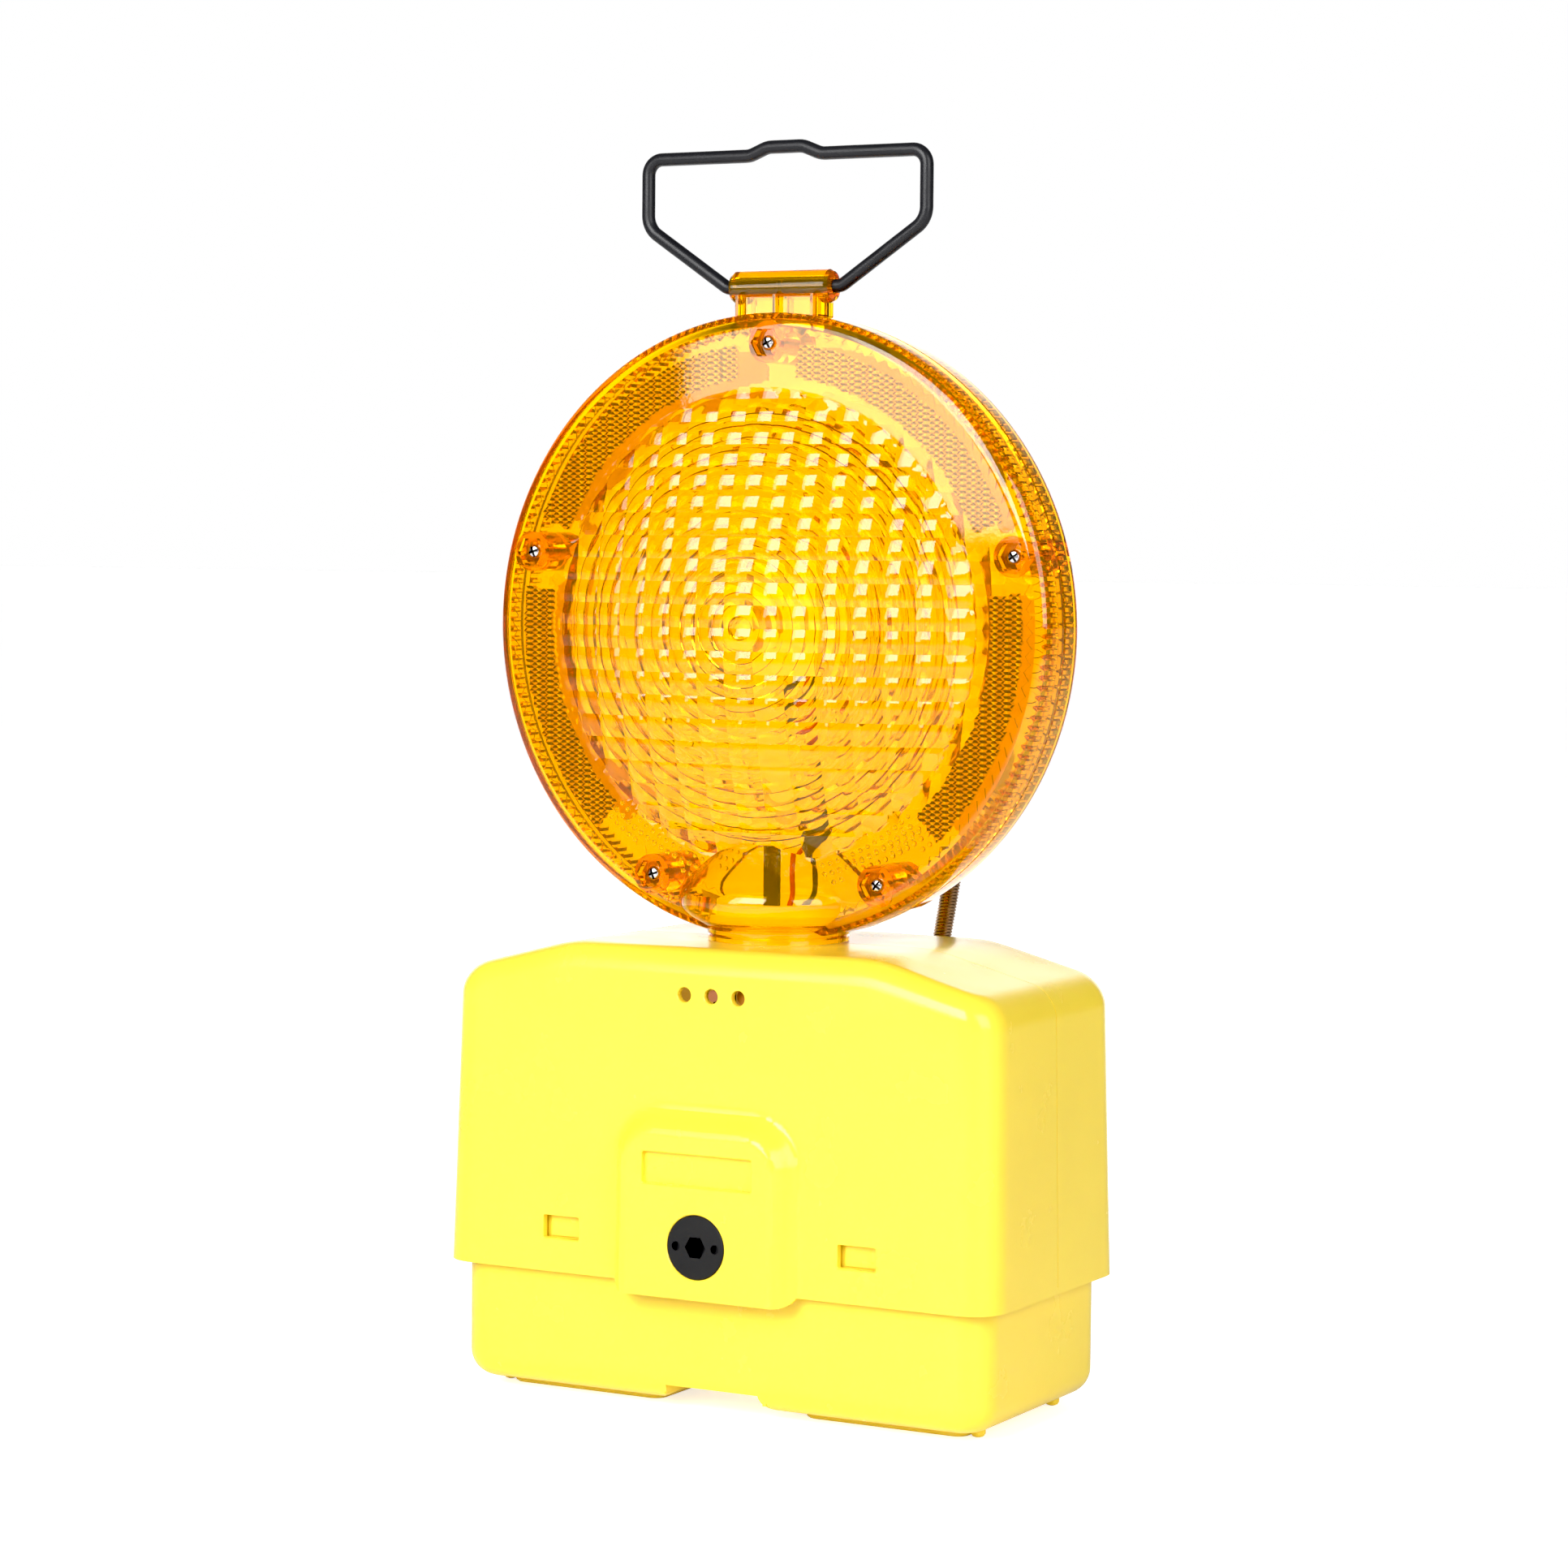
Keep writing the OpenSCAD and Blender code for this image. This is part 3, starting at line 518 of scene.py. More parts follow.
def round_cutter(cx, cz, radius, y_face, deep, flare=0.3, n=40):
    """Round flared cutter whose axis points into the case."""
    profile = [(radius + flare, flare), (radius + flare, 0), (radius, -flare), (radius, -deep)]
    return lathe("tool", profile, "-y", (cx, y_face, cz), n)


def spigot_and_lugs():
    """The neck spigot with its seal groove, and the two lugs that carry the swing bolt's pin."""
    seal_low, seal_high, seal_out = 144.1, 146.6, 20.6
    spigot = lathe("tool", [(SPIGOT_R, TOP_Z - WALL), (SPIGOT_R, seal_low), (20.2, 144.15),
                            (seal_out, 144.6), (seal_out, 146.1), (20.2, 146.55), (SPIGOT_R, seal_high),
                            (SPIGOT_R, SPIGOT_TOP - 0.6), (SPIGOT_R - 0.6, SPIGOT_TOP)],
                   "z", (0, HEAD_Y, 0), 96)
    lug_r, lug_pitch, lug_half = 5.5, 6.5, 1.5
    root = CASE_Y - 6
    outline = [(root, PIVOT[2] - lug_r)] + arc(PIVOT[1], PIVOT[2], lug_r, -90, 90, 16) + \
              [(root, PIVOT[2] + lug_r)]
    lugs = []
    for s in (-1, 1):
        at = PIVOT[0] + s * lug_pitch
        lugs.append(prism(outline, at - lug_half, at + lug_half, "x"))
    return [spigot, *lugs]


def cover_openings():
    """Cutters for the label recess, latch windows, front holes, lock, neck bore and pivot pin."""
    face = -BLOCK_Y
    return [
        window_cutter(0, LABEL_Z, LABEL_W / 2, LABEL_H / 2, face, 2, 0.8),
        *[window_cutter(s * WINDOW_X, WINDOW_Z, WINDOW_W / 2, WINDOW_H / 2, -CASE_Y + 0.25, 6)
          for s in (-1, 1)],
        *[round_cutter(i * HOLE_PITCH, HOLE_Z, HOLE_R, -CASE_Y + 2.25, 8) for i in (-1, 0, 1)],
        round_cutter(0, LOCK_Z, LOCK_R + 0.06, face, 2.4, 0.35, 72),
        lathe("tool", [(LOCK_SHANK_R + 0.06, 2), (LOCK_SHANK_R + 0.06, -10)], "-y", (0, face, LOCK_Z)),
        lathe("tool", [(SPIGOT_BORE, 120), (SPIGOT_BORE, 160)], "z", (0, HEAD_Y, 0), 96),
        lathe("tool", [(2.52, 0), (2.52, 40)], "x", (0, PIVOT[1], PIVOT[2]), 32),
    ]


def top_cover():
    """Upper half of the case, hollow and open below."""
    below = -OUTSIDE
    outer = cover_skin(0, (150, 74, 84))
    # the skin is trimmed to its lower edge, which drops and turns in round the lock housing
    under = arc(BLOCK_HALF - 2, BLOCK_BASE + 5, 5, 270, 334)
    under += [(BLOCK_HALF + FLANK_HALF, EDGE_Z), (OUTSIDE, EDGE_Z), (OUTSIDE, below), (BLOCK_HALF - 2, below)]
    outer = cut(outer, block((-OUTSIDE, -BLOCK_Y + 6.3, below), (OUTSIDE, 80, EDGE_Z)),
                prism([(z, x) for x, z in under], -80, 0, "y"),
                prism([(z, -x) for x, z in under], -80, 0, "y"),
                block((-60, -80, below), (60, 0, BLOCK_BASE)))
    parting_half, parting_deep = 0.14, 0.16
    parting = cut(block((-95, -parting_half, EDGE_Z + 2), (95, parting_half, 150)),
                  cover_skin(parting_deep, (120, 40, 60)))

    inner = cover_skin(WALL, (100, 50, 56))
    lock_boss = lathe("tool", [(12, -1), (12, -7)], "-y", (0, -BLOCK_Y, LOCK_Z), 48)
    around = 1.5
    recess_back = block((-LABEL_W / 2 - around, -BLOCK_Y + 1, LABEL_Z - LABEL_H / 2 - around),
                        (LABEL_W / 2 + around, -BLOCK_Y + 3.6, LABEL_Z + LABEL_H / 2 + around))
    posts = [cylinder(3, 127, 140, "z", (s * 36, 14, 0), 24) for s in (-1, 1)]
    inner = cut(inner, lock_boss, recess_back, *posts)

    outer = cut(outer, inner, parting)
    outer = join(outer, *spigot_and_lugs())
    outer = cut(outer, *cover_openings())
    piece = finish_piece(outer, "cover_shell", ["top_cover"], "cover", 26)
    # painted glow: the spigot's top faces, seen through the amber head, get the glowing yellow
    piece.data.materials.append(MATERIALS["spigot_painted_glow"])
    for face in piece.data.polygons:
        x, y, z = face.center / MM
        if z > TOP_Z + 0.4 and np.hypot(x, y - HEAD_Y) < 22:
            face.material_index = 1
    return piece


# ---------------------------------------------------------------- tray
def tray_distance(p):
    """Straight walls and a flat bottom at the height of the pads, with rounded edges."""
    return round_max(plan(p, TRAY_X, TRAY_Y, 11), PAD_H - p[:, 2], 8)


def tray_details(s):
    """What is added on the left (s -1) or the right (s 1) of the tray."""
    pad_half_x, pad_half_y, chamfer = 26.5, 29, 0.6
    rings = []
    for inset, r, z in ((chamfer, 3.6, 0), (0, 4, chamfer), (0, 4, 3.4)):
        ring = rounded(pad_half_x - inset, pad_half_y - inset, r, 5)
        rings.append(np.array([(s * PAD_X + a, b, z) for a, b in ring]))
    pad = add_object("tool", *loft(rings))
    nub = [(0.9, 0), (1.7, 0.3), (2.2, 1.1), (2.2, 4)]
    nubs = [lathe("tool", nub, "z", (s * 79.5, side * 25, 0), 24) for side in (-1, 1)]
    catch = block((s * WINDOW_X - 5, -TRAY_Y - 0.5, WINDOW_Z - 3),
                  (s * WINDOW_X + 5, -TRAY_Y + 1, WINDOW_Z + 3))
    bay = s * BAY_WALL_X
    bay_wall = block((bay - 0.6, -TRAY_Y + 1.9, 4.5), (bay + 0.6, TRAY_Y - 1.9, 50))
    ribs = [block((s * x - 1, -30, 4.5), (s * x + 1, 30, 11)) for x in (32, 52, 72)]
    return [pad, *nubs, catch, bay_wall, *ribs]


def base_tray():
    """Lower half of the case, open above, with a channel across its underside."""
    middle, half = np.array((0, 0, 42.0)), np.array((TRAY_X, TRAY_Y, 40.0))
    outer = add_object("tray", *skin(tray_distance, half, (130, 64, 60), 0, middle))
    outer = cut(outer, block((-OUTSIDE, -80, TRAY_TOP), (OUTSIDE, 80, 150)))
    inner = add_object("tool", *skin(tray_distance, half, (90, 44, 40), -WALL, middle))
    inner = cut(inner, block((-CHANNEL_X - WALL, -60, -5), (CHANNEL_X + WALL, 60, CHANNEL_TOP + WALL)))
    outer = cut(outer, inner)
    side = CHANNEL_X + CHANNEL_R
    channel = arc(-side, CHANNEL_TOP, CHANNEL_R, -90, 0) + arc(side, CHANNEL_TOP, CHANNEL_R, 180, 270)
    channel += [(side, -5), (-side, -5)]
    outer = cut(outer, prism([(b, a) for a, b in channel], -60, 60, "y"))
    cam_ledge = block((-BAY_WALL_X, -TRAY_Y + 1.9, LOCK_Z + 5.5), (-11.5, -TRAY_Y + 6.4, LOCK_Z + 7.5))
    outer = join(outer, *tray_details(-1), *tray_details(1), cam_ledge)
    outer = cut(outer, block((-10.6, -TRAY_Y - 1, 41), (10.6, -TRAY_Y + 3.4, 71)))
    return finish_piece(outer, "tray_shell", ["base_tray"], "base", 26)


# ---------------------------------------------------------------- amber head
# outline of the bulb at the neck: radius, and height above the neck's lower end
BULB_LINE = [(21.2, 0), (21.2, 1.2), (20.7, 1.6), (21.3, 2.1), (21.4, 3.3), (20.9, 3.7),
             (21.8, 4.2), (24, 5.4), (27.2, 7.4), (29.4, 9.8), (30, 12.4), (29.3, 14.8),
             (27, 18.2), (23.4, 22), (19, 26), (15, 29)]
# pillows of the dome: size, depth of their edges, how many, and faces across each
CELL_W, CELL_H = 9.8, 6.75
PILLOW_W, PILLOW_H = 1.15, 0.58
CELLS_X, CELLS_Z = 15, 22
STEPS_X, STEPS_Z = 6, 5
DOME_SEAM = 0.35
# round grooves behind the dome: their width, and the outline of one
GROOVE = 3.5
GROOVE_LINE = ((0.02, 0), (0.35, -0.05), (0.7, -0.3), (0.93, -0.75))
RING_POINTS, DOME_POINTS = 960, 192


def smooth_curve(points, step):
    """Catmull-Rom curve through points, sampled finely."""
    p = np.array(points, float)
    p = np.vstack([2 * p[0] - p[1], p, 2 * p[-1] - p[-2]])
    out = []
    for a, b, c, d in zip(p, p[1:], p[2:], p[3:]):
        count = max(1, int(np.linalg.norm(c - b) / step + 0.5))
        for t in np.arange(count) / count:
            out.append(0.5 * (2 * b + (c - a) * t + (2 * a - 5 * b + 4 * c - d) * t * t
                              + (3 * b - a - 3 * c + d) * t ** 3))
    return out + [p[-2]]


def dome_height(r):
    """Height of the dome over its edge, at a distance from the lens axis."""
    return np.sqrt(np.maximum(DOME_BALL ** 2 - r * r, 0)) - (DOME_BALL - DOME_H)


def pillow_dome():
    """Dome of small pillow lenses: its points, its faces and the loop round its edge."""
    xs = (np.arange(CELLS_X * STEPS_X + 1) / STEPS_X - CELLS_X / 2) * CELL_W
    zs = (np.arange(CELLS_Z * STEPS_Z + 1) / STEPS_Z - CELLS_Z / 2) * CELL_H
    x, z = np.meshgrid(xs, zs, indexing="ij")
    r = np.hypot(x, z)
    near = r < DOME_R - DOME_SEAM
    keep = near[:-1, :-1] | near[1:, :-1] | near[:-1, 1:] | near[1:, 1:]
    used = np.zeros_like(near)
    for a in (slice(0, -1), slice(1, None)):
        for b in (slice(0, -1), slice(1, None)):
            used[a, b] |= keep
    # the outermost points move out onto the dome's round edge
    pull = np.where(r > DOME_R - DOME_SEAM, DOME_R / np.maximum(r, 1), 1)
    u = (xs / CELL_W + CELLS_X / 2) % 1 * 2 - 1
    v = (zs / CELL_H + CELLS_Z / 2) % 1 * 2 - 1
    on_x = np.arange(len(xs)) % STEPS_X == 0
    on_z = np.arange(len(zs)) % STEPS_Z == 0
    u[on_x], v[on_z] = 1, 1
    sag = PILLOW_W * u[:, None] ** 2 + PILLOW_H * v[None, :] ** 2
    h = RING_HALF + np.maximum(dome_height(np.minimum(r, DOME_R)) - sag, -0.15)
    h = np.where(r > DOME_R - DOME_SEAM, RING_HALF, h)
    index = -np.ones(used.shape, int)
    index[used] = np.arange(used.sum())
    points = np.stack([x * pull, z * pull, h], -1)[used]
    quads = [index[:-1, :-1], index[1:, :-1], index[1:, 1:], index[:-1, 1:]]
    faces = np.stack(quads, -1)[keep].tolist()
    edge = np.hypot(points[:, 0], points[:, 1]) > DOME_R - 0.01
    loop = np.flatnonzero(edge)
    loop = loop[np.argsort(np.arctan2(points[loop, 1], points[loop, 0]) % (2 * pi))]
    return points, faces, loop


def ring_rim(n):
    """Loops of the head's outside, from the flange to the mid-plane."""
    edge_r, round_r, round_h = 88, 5, 4.2
    # the loops just inside the edges keep the flange's shading flat
    rim = [(DOME_R + 0.4, RING_HALF), (74, RING_HALF), (edge_r - 0.4, RING_HALF), (edge_r, RING_HALF)]
    rim += [(edge_r + round_r * sin(a), RING_HALF - round_h + round_h * cos(a))
            for a in np.radians(np.arange(15, 91, 15))]
    rim += [(RING_R, 0.5), (RING_R - 0.35, 0)]
    return [circle(r, h, n) for r, h in rim]


def ring_solid(side):
    """Outside of one half of the ring with its dome."""
    points, faces, loop = pillow_dome()
    shared = len(loop)
    verts, more = loft([points[loop]] + ring_rim(288), (False, True))
    # the loft's first loop is the dome's own edge, so its faces use the dome's points there
    shift = len(points) - shared
    faces += [tuple(int(loop[i]) if i < shared else i + shift for i in face) for face in more]
    return place_on_lens("ring", np.vstack([points, np.array(verts)[shared:]]), faces, side)


def place_on_lens(name, verts, faces, side):
    """Puts (across, up, out) points on the lens; side -1 is the front half, 1 the back half."""
    v = np.asarray(verts)
    return add_object(name, np.stack([v[:, 0], HEAD_Y + side * v[:, 2], LENS_Z + v[:, 1]], 1), faces)


def tooth(count, size):
    """Square teeth round a loop."""
    return lambda turns: np.where((turns * count) % 1 < 0.5, size, 0.0)


def zigzag(count, size):
    """Pointed teeth round a loop."""
    return lambda turns: size * (np.abs((turns * count) % 1 - 0.5) * 4 - 1)


def ring_hollow(side):
    """Inside of one half: round grooves behind the dome, a jagged ledge and a toothed wall."""
    loops, r = [], 0.0
    while r + GROOVE < DOME_R - 2:
        base = RING_HALF + float(dome_height(r)) - LENS_WALL - 0.9
        for part, lift in GROOVE_LINE:
            loops.append(circle(max(r + GROOVE * part, 0.1), base + lift, DOME_POINTS))
        r += GROOVE
    inner = RING_HALF - LENS_WALL
    jags, teeth = zigzag(120, 0.9), tooth(192, 0.9)
    loops += [circle(DOME_R - 1.8, inner + 0.4, DOME_POINTS), circle(DOME_R - 1.2, inner, DOME_POINTS)]
    loops += [circle(at, h, RING_POINTS, wave) for at, h, wave in (
        (85.2, inner, None), (86.8, inner, jags), (86.9, inner + 0.7, jags), (88.6, inner + 0.5, None),
        (90.1, inner - 1.2, None), (90.4, inner - 2, None), (89.6, inner - 2.3, teeth), (89.6, 2.4, teeth),
        (90.6, 2.2, None), (90.6, -1, None))]
    return place_on_lens("hollow", *loft(loops), side)


def around_lens(radius, angle):
    """Point at an angle round the lens axis, in world x and z."""
    a = radians(angle)
    return radius * cos(a), LENS_Z + radius * sin(a)


def along_lens(side):
    """Name of the axis that runs outwards from the mid-plane on one side."""
    return "-y" if side < 0 else "y"


def bead_field(side):
    """Small round beads in rows beside the neck, on the flange's inner face."""
    spacing, clear_r, clear = 2.7, 76, 7.5
    verts, faces = [], []
    for radius, size in ((72.6, 0.75), (75.4, 0.9), (78.3, 0.8)):
        step = np.degrees(spacing / radius)
        profile = [(0.05, -size), (size * 0.5, -size * 0.86), (size * 0.86, -size * 0.5), (size, 0),
                   (size, 0.4)]
        v, f = loft([circle(r, h, 12) for r, h in profile])
        for angle in (*np.arange(228, 258, step), *np.arange(282, 312, step)):
            near = min(abs(radians(angle - a)) * radius for a in SCREW_ANGLES)
            if radius > clear_r and near < clear:
                continue
            x, z = around_lens(radius, angle)
            faces += [tuple(i + len(verts) for i in face) for face in f]
            verts += [(x + a, z + b - LENS_Z, RING_HALF - LENS_WALL + h) for a, b, h in v]
    return place_on_lens("tool", verts, faces, side)


def lens_half(side):
    """One moulded half of the head, from the neck to the hinge barrel."""
    neck, hinge, out = (0, HEAD_Y, NECK_LOW), (0, HEAD_Y, BARREL_Z), along_lens(side)
    body = ring_solid(side)
    bulb = smooth_curve(BULB_LINE, 0.8)
    join(body, lathe("tool", bulb, "z", neck, 128))
    barrel = [(3.4, -16.9), (4.4, -16.6), (5, -15.6), (5, 15.6), (4.4, 16.6), (3.4, 16.9)]
    ring_top = LENS_Z + RING_R
    web = [block((-13.5, HEAD_Y - 4, ring_top - 3), (13.5, HEAD_Y + 4, BARREL_Z))]
    web += [block((x - 0.5, HEAD_Y - 6.4, ring_top - 2), (x + 0.5, HEAD_Y + 6.4, BARREL_Z - 2.5))
            for x in (-12.6, 0, 12.6)]
    join(body, lathe("tool", barrel, "x", hinge, 64), *web)
    # only this side of the mid-plane stays, less half of the seam
    seam = 0.03
    other = sorted((HEAD_Y + side * seam, HEAD_Y - side * 200))
    cut(body, block((-200, other[0], 100), (200, other[1], 400)))

    centres = [(x, HEAD_Y, z) for x, z in (around_lens(SCREW_R, a) for a in SCREW_ANGLES)]
    bosses = [lathe("tool", [(6, -1), (6, RING_HALF)], out, at, 48) for at in centres]
    hollow = ring_hollow(side)
    cut(hollow, cylinder(23, -1, 6.2, "z", neck, 64), bead_field(side), *bosses)
    bulb_in = [(22.2, 6.2)] + [(r - 2, h) for r, h in bulb if h > 6.4]
    tools = [lathe("tool", bulb_in, "z", neck, 128),
             block((-11, HEAD_Y - 2.2, ring_top - 0.4), (11, HEAD_Y + 2.2, BARREL_Z - 3.6)),
             cylinder(SPIGOT_R + 0.06, -1, 7.2, "z", neck, 96),
             cylinder(WIRE_R + 0.08, -30, 30, "x", hinge, 32)]
    for at in centres:
        tools.append(cylinder(1.3, -RING_HALF + 1.5, RING_HALF - 1.5, "-y", at, 20))
        if side < 0:
            tools.append(cylinder(4.6, SCREW_SEAT, RING_HALF + 2, "-y", at, 6))
    return cut(body, hollow, *tools)


# ---------------------------------------------------------------- reflectors
PRISM, PRISM_H = 1.0, 0.5
BOSS_CLEAR = 6.8


def reflector(side):
    """Bands of cube-corner prisms: a triangular lattice whose points step through three heights."""
    ceiling = RING_HALF - LENS_WALL
    rows = int(2 * REFLEX_OUT / (PRISM * sqrt(3) / 2)) + 2
    i, j = np.meshgrid(np.arange(-rows, rows), np.arange(-rows, rows), indexing="ij")
    x, z = (i + j / 2) * PRISM, j * PRISM * sqrt(3) / 2
    r, angle = np.hypot(x, z), np.degrees(np.arctan2(z, x)) % 360
    within = np.zeros(r.shape, bool)
    for start, span in REFLEX_ARCS:
        within |= (angle - start) % 360 < span
    within &= (r > REFLEX_IN) & (r < REFLEX_OUT)
    for a in SCREW_ANGLES:
        bx, bz = around_lens(SCREW_R, a)
        within &= np.hypot(x - bx, z - bz + LENS_Z) > BOSS_CLEAR
    top = ceiling - 0.15 - 2 * PRISM_H + PRISM_H * ((i - j) % 3)
    corners = []
    for tri in (((0, 0), (1, 0), (0, 1)), ((1, 0), (1, 1), (0, 1))):
        rolled = [(i[1:-1, 1:-1] + a + rows, j[1:-1, 1:-1] + b + rows) for a, b in tri]
        ok = within[rolled[0]] & within[rolled[1]] & within[rolled[2]]
        corners.append(np.stack([(a * 2 * rows + b)[ok] for a, b in rolled], 1))
    tris = np.vstack(corners)
    ids, flat = np.unique(tris, return_inverse=True)
    tris = flat.reshape(-1, 3)
    n = len(ids)
    front = np.stack([x.flat[ids], z.flat[ids], top.flat[ids]], 1)
    back = front * (1, 1, 0) + (0, 0, ceiling - 1.4)
    edges = np.vstack([tris[:, [0, 1]], tris[:, [1, 2]], tris[:, [2, 0]]])
    seen = {tuple(e) for e in edges.tolist()}
    rim = [(a, b, b + n, a + n) for a, b in edges.tolist() if (b, a) not in seen]
    faces = tris.tolist() + [(c + n, b + n, a + n) for a, b, c in tris.tolist()] + rim
    return place_on_lens("reflector", np.vstack([front, back]), faces, side)


def facet_colours(obj):
    """Paints shade and light on the prism facets by the way they face: painted shade on one, a glowing
    painted light on another, the rest amber.
    """
    for name in ("prism_painted_shade", "prism_painted_light"):
        obj.data.materials.append(MATERIALS[name])
    for face in obj.data.polygons:
        if 0.2 < abs(face.normal.y) < 0.97:
            angle = np.degrees(atan2(face.normal.z, face.normal.x)) % 360
            face.material_index = 1 if angle < 150 else 2 if angle < 240 else 0


# ---------------------------------------------------------------- small parts
def lens_screws():
    """Pan-head screws with a cross recess, in the front wells."""
    profile = [(1.2, SCREW_SEAT - 13), (1.2, SCREW_SEAT - 0.1), (2.1, SCREW_SEAT), (2.2, SCREW_SEAT + 0.5),
               (2.0, SCREW_SEAT + 1.0), (1.4, SCREW_SEAT + 1.4), (0.5, SCREW_SEAT + 1.55)]
    arm = ((1.6, 0.36), (-1.6, 0.36), (-1.6, -0.36), (1.6, -0.36))
    screws = []
    for angle in SCREW_ANGLES:
        x, z = around_lens(SCREW_R, angle)
        origin = (x, HEAD_Y, z)
        # each screw stopped at a turn of its own
        turn = radians(angle * 2.3)
        arms = []
        for t in (turn, turn + pi / 2):
            outline = [(a * cos(t) - b * sin(t), a * sin(t) + b * cos(t)) for a, b in arm]
            arms.append(prism(outline, SCREW_SEAT + 0.3, SCREW_SEAT + 3, "-y", origin))
        screws.append(cut(lathe("screw", profile, "-y", origin, 40), *arms))
    return join(screws[0], *screws[1:])


def shade_recess(obj):
    """Darkens the walls and the floor of the cross recesses with painted shade."""
    obj.data.materials.append(MATERIALS["screw_recess_painted_shade"])
    seat = (HEAD_Y - SCREW_SEAT) * MM
    for face in obj.data.polygons:
        sunk = -1.25 * MM < face.center.y - seat < -0.2 * MM
        flat = abs(face.normal.y)
        if sunk and (flat > 0.98 or flat < 0.1) and face.area < 3 * MM * MM:
            face.material_index = 1


def handle():
    """Bent wire bail with a raised hump and both ends in the barrel."""
    half = [(0.7, 0), (19.2, 0), (47, 18.6), (47, 39), (12, 39), (6, 41.4), (0, 41.4)]
    line = bend(half, [0, 4, 7, 4.6, 7, 7, 0])
    full = [(x, HEAD_Y, BARREL_Z + z) for x, z in line]
    full += [(-x, HEAD_Y, BARREL_Z + z) for x, z in line[-2::-1]]
    return sweep("handle", full, WIRE_R, 28)


def threaded_bolt():
    """M6 swing bolt: an eye on a rod whose thread runs up to its tip."""
    n, pitch, length = 24, 1.0, 65.0
    root_r, thread_deep, tip = 2.5, 0.5, 1.2
    loops = []
    for s in np.arange(4.0, length + 0.01, pitch / 6):
        crest = 2 * thread_deep * np.clip((length - s) / tip, 0, 1)
        loops.append(circle(root_r, s, n, lambda turns: crest * np.abs((s / pitch - turns) % 1 - 0.5)))
    rod = add_object("bolt", *loft(loops))
    join(rod, lathe("tool", [(5.1, -4.7), (5.5, -4.3), (5.5, 4.3), (5.1, 4.7)], "x", n=48))
    return lean_back(cut(rod, cylinder(2.56, -8, 8, "x", n=32)))


def lean_back(obj):
    """Moves a piece made about the bolt's own axis onto the leaning bolt."""
    place = Matrix.Translation(Vector(PIVOT) * MM) @ Matrix.Rotation(-BOLT_LEAN, 4, "X")
    obj.data.transform(place)
    return obj


def washer():
    """Flat washer under the wing nut."""
    body = lathe("washer", [(5.9, 14), (6.2, 14.3), (6.2, 15.3), (5.9, 15.6)], n=48)
    return lean_back(cut(body, cylinder(NUT_BORE, 10, 20, n=40)))


def wing_nut():
    """Round nut with two flat wings."""
    body = lathe("nut", [(4.9, 16), (5.2, 16.3), (5.2, 20), (4.4, 23.6), (4.0, 24)], n=48)
    wings = []
    for s in (-1, 1):
        outline = [(s * 2.5, 17.4), (s * 6.5, 17.8), (s * 9.4, 20)]
        outline += [(s * 8 + s * 3.2 * cos(a), 22.6 + 3.2 * sin(a))
                    for a in np.radians(np.arange(-30, 190, 20))]
        outline += [(s * 4.2, 21.6), (s * 2.5, 21.2)]
        wings.append(prism([(z, x) for x, z in outline], -1, 1, "y"))
    join(body, *wings)
    return lean_back(cut(body, cylinder(NUT_BORE, 10, 30, n=40)))


def lock_screw():
    """Black lock face with a hexagon socket and two pin holes."""
    shaft_r, hex_r, pin_r, pin_x = 3.5, 3.46, 1.35, 6.5
    face = -BLOCK_Y + 0.1
    origin = (0, face, LOCK_Z)
    profile = [(shaft_r, -16), (shaft_r, -12), (LOCK_SHANK_R, -12), (LOCK_SHANK_R, -2.2),
               (LOCK_R, -2.2), (LOCK_R, -0.35), (LOCK_R - 0.35, 0)]
    body = lathe("lock", profile, "-y", origin, 96)
    hexagon = [(hex_r * cos(a), hex_r * sin(a)) for a in np.radians(np.arange(0, 360, 60))]
    pins = [cylinder(pin_r, -1.9, 1, "-y", (s * pin_x, face, LOCK_Z), 24) for s in (-1, 1)]
    return cut(body, prism(hexagon, -6, 1, "-y", origin), *pins)


def lead(points):
    """Thin insulated lead through points, as a smooth curve."""
    return sweep("lead", smooth_curve(points, 1.2), 0.8, 14)


def springs():
    """Conical terminal springs of the two batteries."""
    cell_x = centre("battery_right")[0]
    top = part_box("battery_right")[1][2] / MM
    turns = np.linspace(0, 4.5, 120)
    r, around = 6 - turns * 0.85, 2 * pi * turns
    coils = []
    for s in (-1, 1):
        for y in (0, 22):
            path = np.stack([s * cell_x + r * np.cos(around), y + r * np.sin(around),
                             top + 0.9 + turns * 2.2], 1)
            coils.append(sweep("spring", path, 0.6, 10))
    return join(coils[0], *coils[1:])


# ---------------------------------------------------------------- build
RED_ROUTE = [(5, HEAD_Y, LENS_Z - 18.5), (4.3, HEAD_Y, 190), (5.2, HEAD_Y, 170), (4.4, HEAD_Y, 158),
             (4.4, HEAD_Y, 149), (1.4, HEAD_Y, 144), (1, HEAD_Y, 141.4)]
BLACK_ROUTE = [(9, HEAD_Y, LENS_Z - 16.5), (11, HEAD_Y, 195), (11.8, HEAD_Y, 175), (12, HEAD_Y, 160),
               (11, HEAD_Y + 1, 150), (3, HEAD_Y + 3, 144.5), (-1, HEAD_Y + 2.4, 142.8),
               (-1, HEAD_Y, 141.4)]

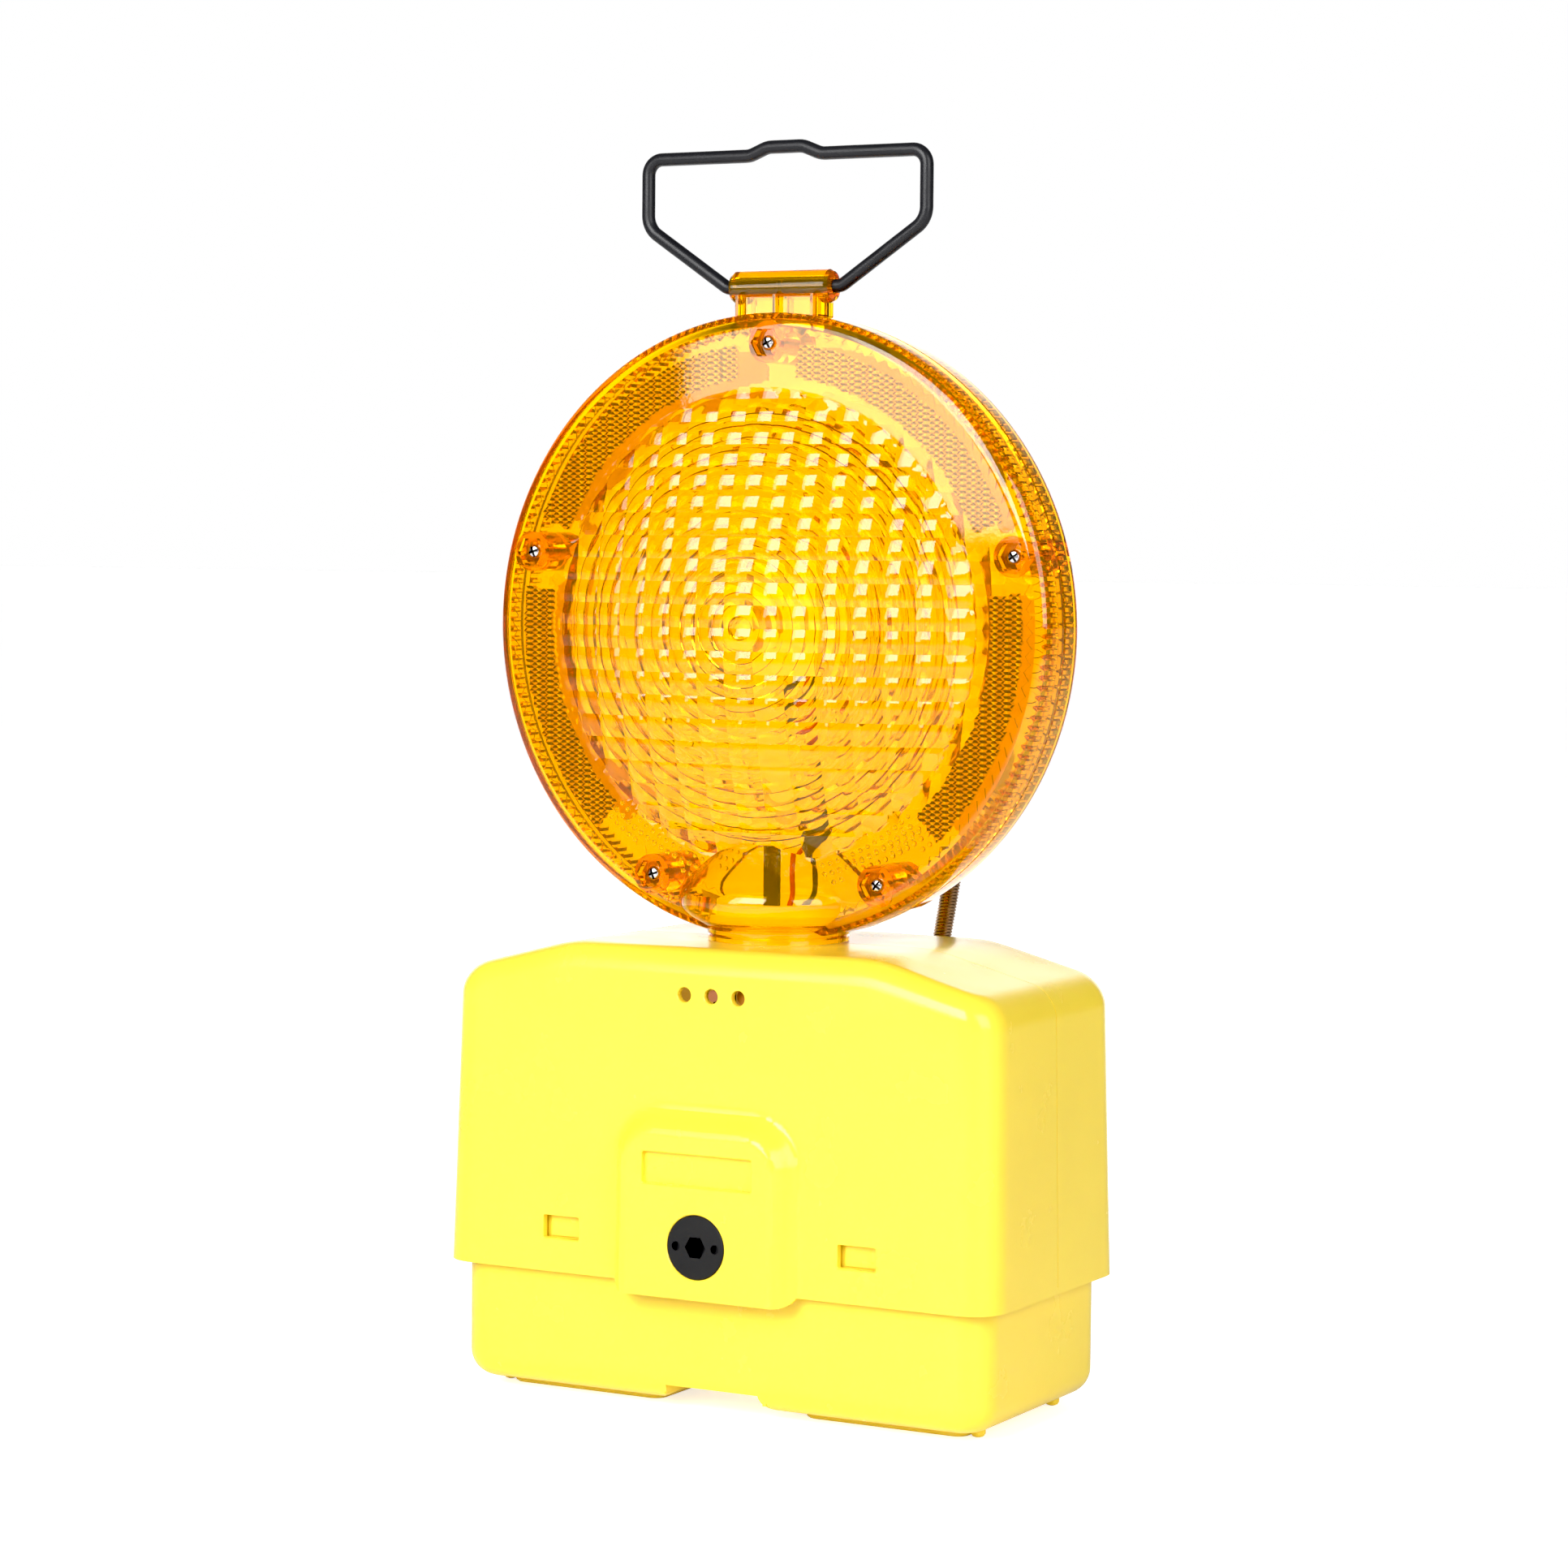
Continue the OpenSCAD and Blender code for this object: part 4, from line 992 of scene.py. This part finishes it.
top_cover()
base_tray()
finish_piece(lens_half(-1), "lens_front_shell", ["lens_front"], "head", 22)
finish_piece(lens_half(1), "lens_back_shell", ["lens_back"], "head", 22)
facet_colours(finish_piece(reflector(-1), "reflector_front", ["reflex_front"], "head", 10))
facet_colours(finish_piece(reflector(1), "reflector_back", ["reflex_back"], "head", 10))
shade_recess(finish_piece(lens_screws(), "screws", ["lens_screws"], "head", 35))
finish_piece(handle(), "wire_handle", ["handle"], "bail", 40)
finish_piece(threaded_bolt(), "swing_bolt", ["fixing_bolt"], "bolt", 40)
finish_piece(washer(), "washer", ["bolt_washer"], "bolt", 30)
finish_piece(wing_nut(), "wing_nut_body", ["wing_nut"], "nut", 30)
finish_piece(lock_screw(), "lock_face", ["lock_screw"], "lock", 30)
finish_piece(lead(RED_ROUTE), "wire_red", ["red_wire"], "head")
finish_piece(lead(BLACK_ROUTE), "wire_black", ["black_wire"], "head")
finish_piece(springs(), "terminal_springs", ["battery_springs"], "base", 40)

for node, obj in frame["nodes"].items():
    if not obj.hide_render:
        dress(obj, SLOT_OF[node])


# ---------------------------------------------------------------- studio
def lit_sweep(tree, place, glow, direct):
    """Strength of the white sweep: dim to bright towards the back, and even where it is seen directly."""
    way = links(tree, "ShaderNodeVectorMath", operation="NORMALIZE")
    tree.links.new(place, way.inputs[0])
    along = links(tree, "ShaderNodeVectorMath", operation="DOT_PRODUCT")
    tree.links.new(way.outputs["Vector"], along.inputs[0])
    along.inputs[1].default_value = FORWARD
    share = links(tree, "ShaderNodeMapRange", Value=along.outputs["Value"], interpolation_type="SMOOTHSTEP",
                  From_Min=0.7, From_Max=0.93, To_Min=glow[0], To_Max=glow[1])
    strength = links(tree, "ShaderNodeMix")
    tree.links.new(links(tree, "ShaderNodeLightPath").outputs["Is Camera Ray"], strength.inputs[0])
    tree.links.new(share.outputs["Result"], strength.inputs[2])
    strength.inputs[3].default_value = direct
    return strength.outputs[0]


FLOOR_SIZE = 40
FLOOR_GLOW, ROOM_GLOW = (0.1, 1.2), (0.15, 1.9)

bpy.ops.mesh.primitive_plane_add(size=FLOOR_SIZE)
floor = bpy.context.object
floor.name = "floor"
paper = surface("paper", (0.9, 0.9, 0.9), 0.01, 3, 0.6, 0.05, 300, 0.05, Emission_Color=(1, 1, 1, 1))
paper_place = links(paper.node_tree, "ShaderNodeTexCoord").outputs["Object"]
paper_light = lit_sweep(paper.node_tree, paper_place, FLOOR_GLOW, 0.66)
paper.node_tree.links.new(paper_light, paper.node_tree.nodes["Principled BSDF"].inputs["Emission Strength"])
floor.data.materials.append(paper)


def softbox(name, place, target, size, power):
    """White rectangular light at a place, turned to a target."""
    data = bpy.data.lights.new(name, "AREA")
    data.shape = "RECTANGLE"
    data.size, data.size_y = size
    data.energy = power
    light = bpy.data.objects.new(name, data)
    direction = Vector(target) - Vector(place)
    light.matrix_world = Matrix.Translation(place) @ direction.to_track_quat("-Z", "Y").to_matrix().to_4x4()
    bpy.context.scene.collection.objects.link(light)


softbox("key", (-0.12, -1.5, 1.0), (-0.12, 0, 1.0), (0.86, 1.1), 33)
softbox("key_edge", (-0.72, -1.5, 0.91), (-0.72, 0, 0.91), (0.34, 1.3), 8)
softbox("fill", (1.5, -0.75, 0.8), (0, 0, 0.15), (1.0, 1.2), 19)

world = bpy.data.worlds.new("studio")
bpy.context.scene.world = world
world.use_nodes = True
room = world.node_tree
room_place = links(room, "ShaderNodeTexCoord").outputs["Generated"]
background = room.nodes["Background"]
background.inputs["Color"].default_value = (1, 1, 1, 1)
room.links.new(lit_sweep(room, room_place, ROOM_GLOW, 1.0), background.inputs["Strength"])

BLACK_LEVEL = 0.014
scene = bpy.context.scene
scene.view_settings.view_transform = "Standard"
scene.view_settings.use_curve_mapping = True
scene.view_settings.curve_mapping.black_level = [BLACK_LEVEL] * 3
scene.cycles.use_denoising = True
scene.cycles.max_bounces = 24
scene.cycles.transmission_bounces = 20
scene.cycles.transparent_max_bounces = 12
scene.cycles.glossy_bounces = 8
